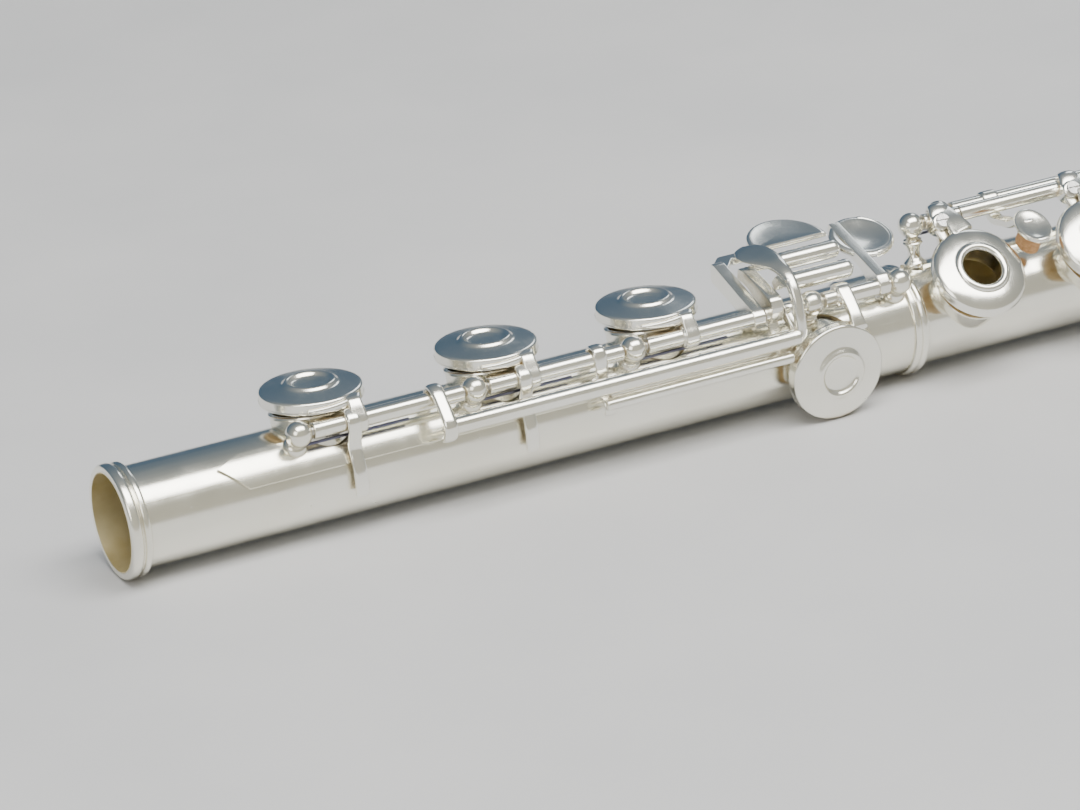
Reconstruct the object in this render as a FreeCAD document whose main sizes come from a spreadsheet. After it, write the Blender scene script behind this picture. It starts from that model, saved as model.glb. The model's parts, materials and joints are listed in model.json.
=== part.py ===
"""Concert flute with a B foot: head joint, body joint and foot joint as separate working pieces.

Frame: X runs along the tube, x = 0 at the open foot end and +X towards the crown; +Z is up with the
flute lying down. Angles about the tube are measured from +Z towards -Y, the side away from the player.
"""
import FreeCAD, Part
import math
import os
import re

import Sketcher
from FreeCAD import Placement, Rotation, Vector

doc = FreeCAD.newDocument("ConcertFlute")
sheet = doc.addObject("Spreadsheet::Sheet", "Sheet")

DIMENSIONS = {
    # tube and sockets
    "bore_radius": 9.5,
    "tube_radius": 9.9,
    "socket_bore": 9.95,
    "socket_radius": 10.45,
    "ring_radius": 11.2,
    "barrel_radius": 10.7,
    "head_end_bore": 8.6,
    "head_wall": 0.4,
    # tone holes
    "foot_hole_radius": 7.7,
    "low_hole_radius": 7.1,
    "high_hole_radius": 6.7,
    "small_hole_radius": 3.8,
    "chimney_wall": 0.55,
    "chimney_rim": 12.2,
    "rim_bead": 0.35,
    # cups and pads
    "foot_cup_radius": 10.1,
    "cup_radius": 9.8,
    "small_cup_radius": 5.7,
    "cup_wall": 0.7,
    "cup_edge": 12.65,
    "cup_ceiling": 14.25,
    "cup_shoulder": 14.9,
    "cup_ridge": 16.3,
    "finger_hole_radius": 4.0,
    "insert_radius": 4.9,
    "pad_face": 12.25,
    # hinges
    "hinge_tube_radius": 1.65,
    "hinge_tube_bore": 0.95,
    "steel_radius": 0.9,
    "collar_radius": 2.15,
    "ball_radius": 2.6,
    "post_radius": 1.15,
    "post_foot_radius": 1.9,
    "post_bead": 0.45,
    "rib_radius": 10.5,
    "spring_radius": 0.3,
    # levers
    "outer_rod_radius": 1.3,
    "second_rod_radius": 1.15,
    "link_width": 2.0,
    "lever_width": 2.4,
    "touch_thickness": 1.3,
    "roller_radius": 1.9,
    "roller_bore": 0.8,
    "axle_radius": 0.75,
    # head joint
    "lip_half_length": 44.6,
    "lip_half_width": 10.8,
    "lip_height": 14.2,
    "lip_thickness": 1.0,
    "lip_trim_radius": 60.0,
    "embouchure_length": 12.2,
    "embouchure_width": 10.4,
    "riser_wall": 1.6,
    "cork_radius": 8.57,
    "stopper_plate_radius": 8.4,
    "screw_radius": 2.4,
    "crown_radius": 10.2,
}

for row, (alias, size) in enumerate(DIMENSIONS.items(), start=1):
    sheet.set(f"A{row}", alias)
    sheet.set(f"B{row}", str(size))
    sheet.setAlias(f"B{row}", alias)
doc.recompute()

# Lengths along the tube.
EMBOUCHURE_X = 633.4
SOUNDING_LENGTH = 659.0
END_CORRECTION = 68.8
BODY_DRAW = 3.8
FOOT_TUBE_END = 171.6
SOCKET_START = 158.0
TENON_START = 158.3
FOOT_RIB_END = 168.1
BODY_RIB_START = 173.0
BODY_RIB_END = 444.8
BODY_TUBE_END = 455.0
BARREL_START = 445.0
BARREL_END = 492.0
HEAD_TUBE_START = 455.4
HEAD_TUBE_END = 692.0
TAPER_END = 625.0
CORK_FACE = EMBOUCHURE_X + 17.0
CORK_LENGTH = 18.0
THREAD_GAP = 0.06

# Angles about the tube, in degrees.
FOOT_HOLES = -11.0
D_SHARP_HOLE = 94.0
BODY_HOLES = 48.5
BACK_HOLES = -94.0
TRILL_HOLES = -77.4
FOOT_OPEN = 8.5
BODY_OPEN = 7.5
THUMB_OPEN = 8.5


class Line:
    """One hinge line parallel to the tube."""

    def __init__(self, radius, angle):
        self.radius = radius
        self.angle = angle
        self.y = -radius * math.sin(math.radians(angle))
        self.z = radius * math.cos(math.radians(angle))


FOOT_LINE = Line(14.5, 34.8)
MAIN_LINE = Line(18.2, -9.5)
TRILL_LINE = Line(18.7, -27.4)
BACK_LINE = Line(14.5, -48.0)
OUTER_ROD = Line(15.6, 59.0)
SECOND_ROD = Line(14.0, 73.0)


def semitone_x(semitones):
    """Centre of the tone hole that is so many semitones above low B."""
    length = SOUNDING_LENGTH * 2.0 ** (-semitones / 12.0) - END_CORRECTION
    return EMBOUCHURE_X - length


B_X, C_X, C_SHARP_X, D_SHARP_X = (semitone_x(n) for n in range(4))
D_X, E_X, F_X, F_SHARP_X, G_X, UPPER_G_X, A_X, B_FLAT_X, THUMB_X = (
    semitone_x(n) + BODY_DRAW for n in range(4, 13))
UPPER_C_SHARP_X = THUMB_X + 24.5
D_TRILL_X = THUMB_X + 42.5
D_SHARP_TRILL_X = THUMB_X + 57.5


# ---------------------------------------------------------------- helpers

def expression(text):
    """The same formula with every dimension's name pointing at the sheet."""
    return re.sub(r"[a-z]\w*", lambda word: "Sheet." + word.group(), text)


def bind(item, **sizes):
    for name, size in sizes.items():
        if isinstance(size, str):
            item.setExpression(name, expression(size))
        else:
            setattr(item, name, size)
    return item


def dimension(name):
    return DIMENSIONS[name]


def along_x(x, y=0.0, z=0.0):
    return Placement(Vector(x, y, z), Rotation(Vector(0, 1, 0), 90))


def seat(x, angle):
    """A frame at x whose Z axis points out of the tube at this angle."""
    return Placement(Vector(x, 0, 0), Rotation(Vector(1, 0, 0), angle))


def tilt(line, degrees):
    """A turn about a hinge line."""
    centre = Vector(0, line.y, line.z)
    return Placement(Vector(), Rotation(Vector(1, 0, 0), degrees), centre)


def cylinder(name, radius, height, place):
    item = doc.addObject("Part::Cylinder", name)
    bind(item, Radius=radius, Height=height)
    item.Placement = place
    return item


def rod(name, radius, start, end, y=0.0, z=0.0):
    return cylinder(name, radius, end - start, along_x(start, y, z))


def box(name, length, width, height, place):
    item = doc.addObject("Part::Box", name)
    bind(item, Length=length, Width=width, Height=height)
    item.Placement = place
    return item


def fuse(name, pieces):
    item = doc.addObject("Part::MultiFuse", name)
    item.Shapes = pieces
    return item


def cut(name, base, tools):
    item = doc.addObject("Part::Cut", name)
    item.Base = base
    item.Tool = tools[0] if len(tools) == 1 else fuse(name + "_tools", tools)
    return item


def common(name, first, second):
    item = doc.addObject("Part::MultiCommon", name)
    item.Shapes = [first, second]
    return item


def outline(body, plane, points):
    """A closed sketch with straight sides whose corners are bound to the sheet."""
    sketch = body.newObject("Sketcher::SketchObject", body.Name + "_sketch")
    features = body.Origin.OriginFeatures
    origin_plane = next(f for f in features if f.Role == plane)
    sketch.AttachmentSupport = [(origin_plane, "")]
    sketch.MapMode = "FlatFace"
    values = []
    for u, v in points:
        values.append((number(u), number(v)))
    count = len(points)
    for index in range(count):
        start = Vector(*values[index], 0)
        end = Vector(*values[(index + 1) % count], 0)
        sketch.addGeometry(Part.LineSegment(start, end))
    for index in range(count):
        sketch.addConstraint(Sketcher.Constraint("Coincident", index, 2, (index + 1) % count, 1))
    for index, (u, v) in enumerate(points):
        for kind, size in (("DistanceX", u), ("DistanceY", v)):
            value = values[index][0 if kind == "DistanceX" else 1]
            place = sketch.addConstraint(Sketcher.Constraint(kind, -1, 1, index, 1, value))
            if isinstance(size, str):
                sketch.setExpression(f"Constraints[{place}]", expression(size))
    return sketch


def number(size):
    """The value of a size that is a plain number or a sum and difference of dimensions."""
    if not isinstance(size, str):
        return float(size)
    total = 0.0
    sign = 1.0
    for word in size.split():
        if word in "+-":
            sign = 1.0 if word == "+" else -1.0
        elif word[0].isalpha():
            total += sign * dimension(word)
        else:
            total += sign * float(word)
    return total


def turned(name, points, place=None, axis="Z"):
    """A solid of revolution: points are (radius, height) about Z, or (x, radius) about X."""
    body = doc.addObject("PartDesign::Body", name)
    sketch = outline(body, "XZ_Plane", points)
    turn = body.newObject("PartDesign::Revolution", name + "_turn")
    turn.Profile = sketch
    turn.ReferenceAxis = (sketch, ["V_Axis" if axis == "Z" else "H_Axis"])
    turn.Angle = 360.0
    if place is not None:
        body.Placement = place
    return body


def plate(name, points, start, width, place=None):
    """A flat piece across the tube: points are (y, z), from x = start for a width along X."""
    body = doc.addObject("PartDesign::Body", name)
    sketch = outline(body, "YZ_Plane", points)
    pad = body.newObject("PartDesign::Pad", name + "_pad")
    pad.Profile = sketch
    bind(pad, Length=width)
    base = place if place is not None else Placement()
    body.Placement = base.multiply(Placement(Vector(start, 0, 0), Rotation()))
    return body


def slab(name, points, bottom, thickness, place):
    """A flat piece lying across a seat: points are (x, y), from z = bottom."""
    body = doc.addObject("PartDesign::Body", name)
    sketch = outline(body, "XY_Plane", points)
    pad = body.newObject("PartDesign::Pad", name + "_pad")
    pad.Profile = sketch
    bind(pad, Length=thickness)
    body.Placement = place.multiply(Placement(Vector(0, 0, bottom), Rotation()))
    return body


def oval(name, half_length, half_width, bottom, thickness, place):
    """An oval finger plate."""
    item = doc.addObject("Part::Ellipse", name + "_edge")
    item.MajorRadius = max(half_length, half_width)
    item.MinorRadius = min(half_length, half_width)
    turn = 0 if half_length >= half_width else 90
    item.Placement = place.multiply(Placement(Vector(0, 0, bottom), Rotation(Vector(0, 0, 1), turn)))
    solid = doc.addObject("Part::Extrusion", name)
    solid.Base = item
    solid.DirMode = "Normal"
    bind(solid, LengthFwd=thickness)
    solid.Solid = True
    return solid


def band(name, radius, thickness, start_x, width, start, sweep, line=None):
    """A curved strap about the tube axis, or about a hinge line, from one angle through a sweep."""
    centre = Vector(start_x, line.y if line else 0.0, line.z if line else 0.0)
    turn = Rotation(Vector(1, 0, 0), start - 180).multiply(Rotation(Vector(0, 1, 0), 90))
    outer = cylinder(name + "_outer", radius, width, Placement(centre, turn))
    outer.Angle = sweep
    inner = cylinder(name + "_inner", radius - thickness, width, Placement(centre, turn))
    return cut(name, outer, [inner])


def node(item, label):
    item.Label = label
    NODES.append(item)
    return item


NODES = []


# ---------------------------------------------------------------- tubes and tone holes

def chimney(name, x, angle, hole):
    """The wall of a tone hole with its rolled rim, and the cutter for the hole."""
    place = seat(x, angle)
    outside = f"{hole} + chimney_wall"
    wall = turned(name + "_chimney", [
        (0.0, 0.0), (outside, 0.0), (outside, "chimney_rim - 0.75"),
        (f"{outside} + rim_bead - 0.1", "chimney_rim - 0.65"),
        (f"{outside} + rim_bead", "chimney_rim - 0.4"),
        (f"{outside} + rim_bead - 0.1", "chimney_rim - 0.1"),
        (f"{outside} - 0.1", "chimney_rim"), (0.0, "chimney_rim")], place)
    cutter = cylinder(name + "_hole", hole, "chimney_rim + 5", place)
    return wall, cutter


def clearance(name, x, angle, hole):
    """A cutter a little wider than the chimney, for straps that run past it."""
    return cylinder(name + "_clear", f"{hole} + chimney_wall + rim_bead + 0.2", 20.0, seat(x, angle))


FOOT_HOLE_LIST = [
    ("b", B_X, FOOT_HOLES, "foot_hole_radius"),
    ("c", C_X, FOOT_HOLES, "foot_hole_radius"),
    ("c_sharp", C_SHARP_X, FOOT_HOLES, "foot_hole_radius"),
    ("d_sharp", D_SHARP_X, D_SHARP_HOLE, "foot_hole_radius"),
]

BODY_HOLE_LIST = [
    ("d", D_X, BODY_HOLES, "low_hole_radius"),
    ("e", E_X, BODY_HOLES, "low_hole_radius"),
    ("f", F_X, BODY_HOLES, "low_hole_radius"),
    ("f_sharp", F_SHARP_X, BODY_HOLES, "low_hole_radius"),
    ("g", G_X, BODY_HOLES, "low_hole_radius"),
    ("upper_g", UPPER_G_X, BODY_HOLES, "high_hole_radius"),
    ("a", A_X, BODY_HOLES, "high_hole_radius"),
    ("b_flat", B_FLAT_X, BODY_HOLES, "high_hole_radius"),
    ("upper_c_sharp", UPPER_C_SHARP_X, BODY_HOLES, "small_hole_radius"),
    ("thumb", THUMB_X, BACK_HOLES, "high_hole_radius"),
    ("g_sharp", G_X, BACK_HOLES, "high_hole_radius"),
    ("d_trill", D_TRILL_X, TRILL_HOLES, "small_hole_radius"),
    ("d_sharp_trill", D_SHARP_TRILL_X, TRILL_HOLES, "small_hole_radius"),
]


def holed_tube(name, outside, inside, holes):
    walls = []
    cutters = []
    for hole in holes:
        wall, cutter = chimney(*hole)
        walls.append(wall)
        cutters.append(cutter)
    solid = fuse(name + "_solid", outside + walls)
    return cut(name, solid, inside + cutters)


def foot_joint_tubes():
    outside = turned("foot_outside", [
        (0.0, 0.0), (0.0, "tube_radius"), (SOCKET_START - 0.6, "tube_radius"),
        (SOCKET_START + 0.4, "socket_radius"),
        (FOOT_TUBE_END, "socket_radius"), (FOOT_TUBE_END, 0.0)], axis="X")
    bore = rod("foot_bore", "bore_radius", -1.0, SOCKET_START)
    socket = rod("foot_socket", "socket_bore", SOCKET_START, FOOT_TUBE_END + 1.0)
    node(holed_tube("foot_tube", [outside], [bore, socket], FOOT_HOLE_LIST), "foot_tube")
    node(turned("end_ring", [
        (0.0, "tube_radius"), (0.0, "ring_radius - 0.5"), (0.5, "ring_radius"),
        (1.6, "ring_radius"), (2.1, "ring_radius - 0.6"), (2.5, "ring_radius - 0.6"),
        (2.9, "ring_radius - 0.2"), (3.6, "ring_radius - 0.2"), (4.1, "ring_radius - 0.7"),
        (4.1, "tube_radius")], axis="X"),
        "foot_end_ring")
    start = FOOT_RIB_END + 0.1
    node(turned("socket_ring", [
        (start, "socket_radius"), (start, "ring_radius - 0.4"), (start + 0.4, "ring_radius"),
        (start + 1.4, "ring_radius"), (start + 1.7, "ring_radius - 0.4"),
        (start + 2.0, "ring_radius"), (start + 3.0, "ring_radius"),
        (start + 3.4, "ring_radius - 0.5"), (start + 3.4, "socket_radius")], axis="X"),
        "foot_socket_ring")


def body_joint_tubes():
    outside = rod("body_outside", "tube_radius", TENON_START, BODY_TUBE_END)
    bore = rod("body_bore", "bore_radius", TENON_START - 1, BODY_TUBE_END + 1)
    node(holed_tube("body_tube", [outside], [bore], BODY_HOLE_LIST), "body_tube")
    node(turned("barrel_sleeve", [
        (BARREL_START, "tube_radius"), (BARREL_START, "ring_radius - 0.4"),
        (BARREL_START + 0.4, "ring_radius"), (BARREL_START + 2.6, "ring_radius"),
        (BARREL_START + 3.2, "barrel_radius"), (BARREL_END - 3.4, "barrel_radius"),
        (BARREL_END - 2.8, "ring_radius"), (BARREL_END - 0.4, "ring_radius"),
        (BARREL_END, "ring_radius - 0.4"), (BARREL_END, "socket_bore"),
        (BODY_TUBE_END, "socket_bore"), (BODY_TUBE_END, "tube_radius")], axis="X"), "barrel")


# ---------------------------------------------------------------- head joint

def rounded_hole(name, grow, bottom, top, place):
    """A rounded oblong prism: four corner cylinders joined by two boxes."""
    length = f"embouchure_length + {2 * grow}"
    width = f"embouchure_width + {2 * grow}"
    corner = 4.2 + grow
    half_x = dimension("embouchure_length") / 2 + grow
    half_y = dimension("embouchure_width") / 2 + grow
    pieces = [
        box(name + "_long", length, 2 * (half_y - corner), top - bottom,
            place.multiply(Placement(Vector(-half_x, corner - half_y, bottom), Rotation()))),
        box(name + "_wide", 2 * (half_x - corner), width, top - bottom,
            place.multiply(Placement(Vector(corner - half_x, -half_y, bottom), Rotation())))]
    for sx in (-1, 1):
        for sy in (-1, 1):
            corner_place = Placement(
                Vector(sx * (half_x - corner), sy * (half_y - corner), bottom), Rotation())
            pieces.append(cylinder(f"{name}_corner_{len(pieces)}", corner, top - bottom,
                                   place.multiply(corner_place)))
    return fuse(name, pieces)


def ellipsoid(name, shrink, place):
    item = doc.addObject("Part::Ellipsoid", name)
    bind(item, Radius1=f"lip_height - {shrink}", Radius2=f"lip_half_length - {shrink}",
         Radius3=f"lip_half_width - {shrink}")
    item.Placement = place
    return item


def head_joint():
    place = seat(EMBOUCHURE_X, BODY_HOLES)
    end_outer = "head_end_bore + head_wall"
    outside = turned("head_outside", [
        (HEAD_TUBE_START, 0.0), (HEAD_TUBE_START, "tube_radius"), (BARREL_END + 6, "tube_radius"),
        (TAPER_END, end_outer), (HEAD_TUBE_END, end_outer), (HEAD_TUBE_END, 0.0)], axis="X")
    bore = turned("head_bore", [
        (HEAD_TUBE_START - 1, 0.0), (HEAD_TUBE_START - 1, "bore_radius"),
        (BARREL_END + 6, "bore_radius"), (TAPER_END, "head_end_bore"),
        (HEAD_TUBE_END + 1, "head_end_bore"), (HEAD_TUBE_END + 1, 0.0)], axis="X")
    hole = rounded_hole("embouchure_hole", 0.0, 4.0, 20.0, place)
    node(cut("head", outside, [bore, hole]), "head_tube")
    wrap = ellipsoid("lip_outside", 0.0, place)
    hollow = ellipsoid("lip_inside", dimension("lip_thickness"), place)
    trim_turn = Placement(Vector(0, -20, dimension("lip_trim_radius") + 1.0),
                          Rotation(Vector(1, 0, 0), -90))
    trim = cylinder("lip_trim", "lip_trim_radius", 40.0, place.multiply(trim_turn))
    shell = common("lip_shell", wrap, trim)
    node(cut("lip", shell, [hollow, hole]), "lip_plate")
    wall = rounded_hole("riser_outside", dimension("riser_wall"), 2.0, 20.0, place)
    riser = common("riser_solid", wall, hollow)
    node(cut("riser", riser, [outside, hole]), "embouchure_riser")


def stopper():
    """The cork between its two plates, and the threaded rod that the crown draws."""
    cork_end = CORK_FACE + CORK_LENGTH
    rod_end = HEAD_TUBE_END + 5.0
    node(turned("cork", [
        (CORK_FACE + 1.2, "screw_radius"), (CORK_FACE + 1.2, "cork_radius"),
        (cork_end, "cork_radius"), (cork_end, "screw_radius")], axis="X"), "stopper_cork")
    node(turned("stopper_rod", [
        (CORK_FACE, 0.0), (CORK_FACE, "stopper_plate_radius"),
        (CORK_FACE + 1.2, "stopper_plate_radius"), (CORK_FACE + 1.2, "screw_radius"),
        (cork_end, "screw_radius"), (cork_end, "stopper_plate_radius"),
        (cork_end + 1.4, "stopper_plate_radius"), (cork_end + 1.4, "screw_radius"),
        (rod_end, "screw_radius"), (rod_end, 0.0)], axis="X"), "stopper_screw")
    stem = HEAD_TUBE_END - 7.0
    face = HEAD_TUBE_END + 0.15
    node(turned("crown_cap", [
        (stem, f"screw_radius + {THREAD_GAP}"), (stem, f"head_end_bore - {THREAD_GAP}"),
        (face, f"head_end_bore - {THREAD_GAP}"),
        (face, "crown_radius - 0.5"), (face + 0.5, "crown_radius"), (face + 6.5, "crown_radius"),
        (face + 7.2, "crown_radius - 0.7"), (face + 8.6, "crown_radius - 1.2"),
        (face + 10.2, "crown_radius - 3.4"), (face + 11.0, "crown_radius - 6.4"),
        (face + 11.2, 0.0), (face + 8.2, 0.0), (face + 8.2, f"screw_radius + {THREAD_GAP}")],
        axis="X"), "crown")


# ---------------------------------------------------------------- hinge parts

def posts(name, label, stations, steels, trim):
    """Turned posts with a ball for the steel, one for each (x, line, bore) station."""
    pieces = []
    holes = list(steels)
    for index, (x, line, bore) in enumerate(stations):
        tag = f"{name}_{index}"
        place = seat(x, line.angle)
        top = line.radius
        ball = doc.addObject("Part::Sphere", tag + "_ball")
        bind(ball, Radius="ball_radius")
        ball.Placement = place.multiply(Placement(Vector(0, 0, top), Rotation()))
        stem = turned(tag + "_stem", [
            (0.0, 9.0), ("post_foot_radius", 9.0), ("post_foot_radius", 10.75),
            ("post_radius - 0.1", 11.05), ("post_radius - 0.1", top - 3.25),
            ("post_radius + post_bead", top - 3.0), ("post_radius + post_bead", top - 2.6),
            ("post_radius", top - 2.3), ("post_radius", top - 1.0), (0.0, top - 1.0)], place)
        pieces += [ball, stem]
        if bore:
            holes.append(rod(tag + "_bore", bore, x - 3.5, x + 3.5, line.y, line.z))
    return node(cut(name, fuse(name + "_turned", pieces), holes + trim), label)


def steel(name, line, start, end):
    return rod(name, "steel_radius", start, end, line.y, line.z)


def needle(name, x, length, line, side):
    """A needle spring that leaves its post beside the hinge tube; side is +1 or -1 about X."""
    place = Line(line.radius - 2.4, line.angle + 5.5 * side)
    return rod(name, "spring_radius", min(x, x + length), max(x, x + length), place.y, place.z)


def hinge_tube(name, line, start, end):
    return rod(name, "hinge_tube_radius", start, end, line.y, line.z)


def collar(name, line, x, width=3.6):
    return rod(name, "collar_radius", x - width / 2, x + width / 2, line.y, line.z)


def cup(name, radius, place, open_hole=False):
    """A key cup, closed on top or with the insert of a finger hole."""
    cavity = f"{radius} - cup_wall"
    wall = [(cavity, "cup_ceiling"), (cavity, "cup_edge"), (radius, "cup_edge"),
            (radius, "cup_edge + 0.5"), (f"{radius} - 0.15", "cup_edge + 0.7"),
            (f"{radius} - 0.15", "cup_shoulder - 0.25"), (f"{radius} - 0.4", "cup_shoulder")]
    if open_hole:
        profile = wall + [
            ("insert_radius + 0.9", "cup_ridge - 0.5"), ("insert_radius + 0.4", "cup_ridge - 0.1"),
            ("insert_radius - 0.1", "cup_ridge"), ("finger_hole_radius", "cup_ridge - 0.35"),
            ("finger_hole_radius", "cup_edge - 0.1"), ("insert_radius", "cup_edge - 0.1"),
            ("insert_radius", "cup_ceiling")]
    else:
        profile = [(0.0, "cup_ceiling")] + wall + [
            (f"{radius} - 4.6", "cup_ridge - 0.35"), (f"{radius} - 4.9", "cup_ridge"),
            (f"{radius} - 5.3", "cup_ridge"), (f"{radius} - 5.6", "cup_ridge - 0.5"),
            (0.0, "cup_ridge - 0.6")]
    return turned(name, profile, place)


def small_cup(name, radius, place):
    cavity = f"{radius} - cup_wall"
    return turned(name, [
        (0.0, "cup_ceiling"), (cavity, "cup_ceiling"), (cavity, "cup_edge"), (radius, "cup_edge"),
        (radius, "cup_shoulder - 0.3"), (f"{radius} - 0.4", "cup_shoulder"),
        (f"{radius} - 2.6", "cup_shoulder + 0.7"), (0.0, "cup_shoulder + 0.9")], place)


def pad(name, radius, place, open_hole=False):
    edge = f"{radius} - cup_wall - 0.05"
    inner = "insert_radius + 0.05" if open_hole else 0.0
    return turned(name, [
        (inner, "pad_face"), (f"{radius} - cup_wall - 0.35", "pad_face"), (edge, "pad_face + 0.3"),
        (edge, "cup_ceiling"), (inner, "cup_ceiling")], place)


def cup_arm(name, x, width, lateral, height, reach, place):
    """The short arm from a collar up to the wall of a cup; lateral is the hinge's own y."""
    side = 1.0 if lateral > 0 else -1.0
    tube = dimension("hinge_tube_radius")
    points = [
        (lateral, height - 0.8), (lateral + side * tube, height),
        (lateral + side * 1.2, height + tube), (lateral - side * 0.4, height + tube + 2.0),
        (side * (reach + 0.6), 15.1), (side * (reach - 0.9), 14.8), (side * (reach - 0.5), 14.35),
        (side * (reach + 0.75), 13.9), (side * (reach + 0.8), 12.9),
        (lateral - side * 1.2, height + 1.0)]
    return plate(name, points, x - width / 2, width, place)


def drilled(name, pieces, line, start, end, bore="hinge_tube_bore"):
    """Key pieces joined into one solid and drilled for the steel."""
    hole = rod(name + "_bore", bore, start - 1, end + 1, line.y, line.z)
    return cut(name, fuse(name + "_joined", pieces), [hole])


def ring_point(radius, angle):
    """(y, z) of a point at this radius and angle about the tube."""
    return (-radius * math.sin(math.radians(angle)), radius * math.cos(math.radians(angle)))


def strap(path, thickness):
    """The outline of a strap of even thickness that follows a path of (y, z) points."""
    left = []
    right = []
    for index, (y, z) in enumerate(path):
        before = path[max(index - 1, 0)]
        after = path[min(index + 1, len(path) - 1)]
        run = math.hypot(after[0] - before[0], after[1] - before[1])
        across_y = -(after[1] - before[1]) / run * thickness / 2
        across_z = (after[0] - before[0]) / run * thickness / 2
        left.append((y + across_y, z + across_z))
        right.append((y - across_y, z - across_z))
    return left + right[::-1]


def polar_strap(path, thickness):
    return strap([ring_point(radius, angle) for radius, angle in path], thickness)


def key_frame(x, hole_angle, line, opening):
    """The seat of a cup at rest: closed on its hole, then tilted about its hinge line."""
    return tilt(line, opening).multiply(seat(x, hole_angle))


def hinge_in_seat(line, hole_angle):
    """The hinge line's own (y, z) seen from the seat of a cup."""
    relative = math.radians(line.angle - hole_angle)
    return (-line.radius * math.sin(relative), line.radius * math.cos(relative))


def cup_with_arm(name, x, hole_angle, line, opening, radius, arm_x, arm_width=3.6, style="closed"):
    """A cup, its pad and the arm and collar that carry it."""
    place = key_frame(x, hole_angle, line, opening)
    if style == "small":
        shell = small_cup(name + "_cup", radius, place)
    else:
        shell = cup(name + "_cup", radius, place, style == "open")
    felt = pad(name + "_pad", radius, place, style == "open")
    lateral, height = hinge_in_seat(line, hole_angle)
    offset = abs(arm_x - x)
    reach = math.sqrt(number(radius) ** 2 - offset ** 2)
    arm = cup_arm(name + "_arm", arm_x - x, arm_width, lateral, height, reach, place)
    return [shell, arm, collar(name + "_collar", line, arm_x, arm_width + 0.8)], felt


# ---------------------------------------------------------------- foot joint keys

FOOT_POSTS = (35.7, 72.4, 106.6, 146.1, 166.2)
B_ROLLER_AXIS = (-5.0, 16.0)
C_ROLLER_AXIS = (1.6, 17.8)


def foot_cup(name, x, arm_x):
    return cup_with_arm(name, x, FOOT_HOLES, FOOT_LINE, FOOT_OPEN, "foot_cup_radius", arm_x, 3.8)


def kicker(name, x):
    """The stop arm that comes down over the near side of the tube."""
    path = [(14.2, 38.0), (12.4, 48.0), (12.2, 60.0), (12.1, 74.0), (11.9, 87.0)]
    return plate(name, polar_strap(path, 1.1), x - 1.6, 3.2)


def under_link(name, x):
    """A link from the hinge line to the second rod that passes inside the outer rod."""
    path = [(FOOT_LINE.y, FOOT_LINE.z - 1.0), (-9.2, 8.2), (-10.6, 5.6), (SECOND_ROD.y, SECOND_ROD.z)]
    return plate(name, strap(path, 1.0), x, "link_width")


def b_key():
    pieces, felt = foot_cup("b", B_X, 47.6)
    link_path = [(FOOT_LINE.y, FOOT_LINE.z), (-10.9, 9.6), (OUTER_ROD.y, OUTER_ROD.z)]
    gizmo_path = [(OUTER_ROD.y, OUTER_ROD.z), (-12.9, 12.6), (-11.2, 16.6), (-8.4, 19.3),
                  (-4.6, 20.7), (-0.6, 20.8)]
    spatula = Placement(Vector(139.2, 0.8, 20.3), Rotation(Vector(0, 0, 1), 112))
    roller_lug = [(-10.6, 18.2), (-7.6, 19.8), (-3.6, 17.0), (-3.6, 15.0), (-6.2, 14.6)]
    pieces += [
        hinge_tube("b_tube", FOOT_LINE, 38.45, 69.6),
        kicker("b_kicker", 46.2),
        plate("b_link", strap(link_path, 2.0), 63.8, "link_width"),
        rod("b_outer_rod", "outer_rod_radius", 64.8, 140.7, OUTER_ROD.y, OUTER_ROD.z),
        hinge_tube("b_lever_tube", FOOT_LINE, 139.4, 143.35),
        plate("b_second_link", strap(link_path, 2.0), 139.4, 1.6),
        plate("b_gizmo_arm", strap(gizmo_path, 2.2), 139.4, 1.6),
        oval("b_gizmo", 5.8, 3.0, 0.0, "touch_thickness - 0.2", spatula),
        plate("b_roller_lug", roller_lug, 139.4, "link_width"),
        rod("b_axle", "axle_radius", 140.0, 157.6, *B_ROLLER_AXIS)]
    node(drilled("b_key_body", pieces, FOOT_LINE, 38.0, 143.4), "b_key")
    node(felt, "b_pad")


def c_key():
    pieces, felt = foot_cup("c", C_X, 84.0)
    bar = [(FOOT_LINE.y - 1.2, FOOT_LINE.z + 0.6), (-9.6, 15.2), (-8.6, 15.9), (0.2, 18.5),
           (3.2, 18.3), (3.4, 15.7), (-0.6, 15.1), (-5.0, 12.6),
           (FOOT_LINE.y + 0.8, FOOT_LINE.z - 1.0)]
    pieces += [
        hinge_tube("c_tube", FOOT_LINE, 75.15, 103.85),
        kicker("c_kicker", 82.2),
        under_link("c_link", 98.0),
        rod("c_outer_rod", "second_rod_radius", 98.0, 138.4, SECOND_ROD.y, SECOND_ROD.z),
        under_link("c_elbow", 136.2),
        hinge_tube("c_lever_tube", FOOT_LINE, 135.25, 139.25),
        plate("c_bar", bar, 136.2, "lever_width"),
        rod("c_axle", "axle_radius", 138.0, 158.4, *C_ROLLER_AXIS)]
    node(drilled("c_key_body", pieces, FOOT_LINE, 75.0, 139.3), "c_key")
    node(felt, "c_pad")


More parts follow.
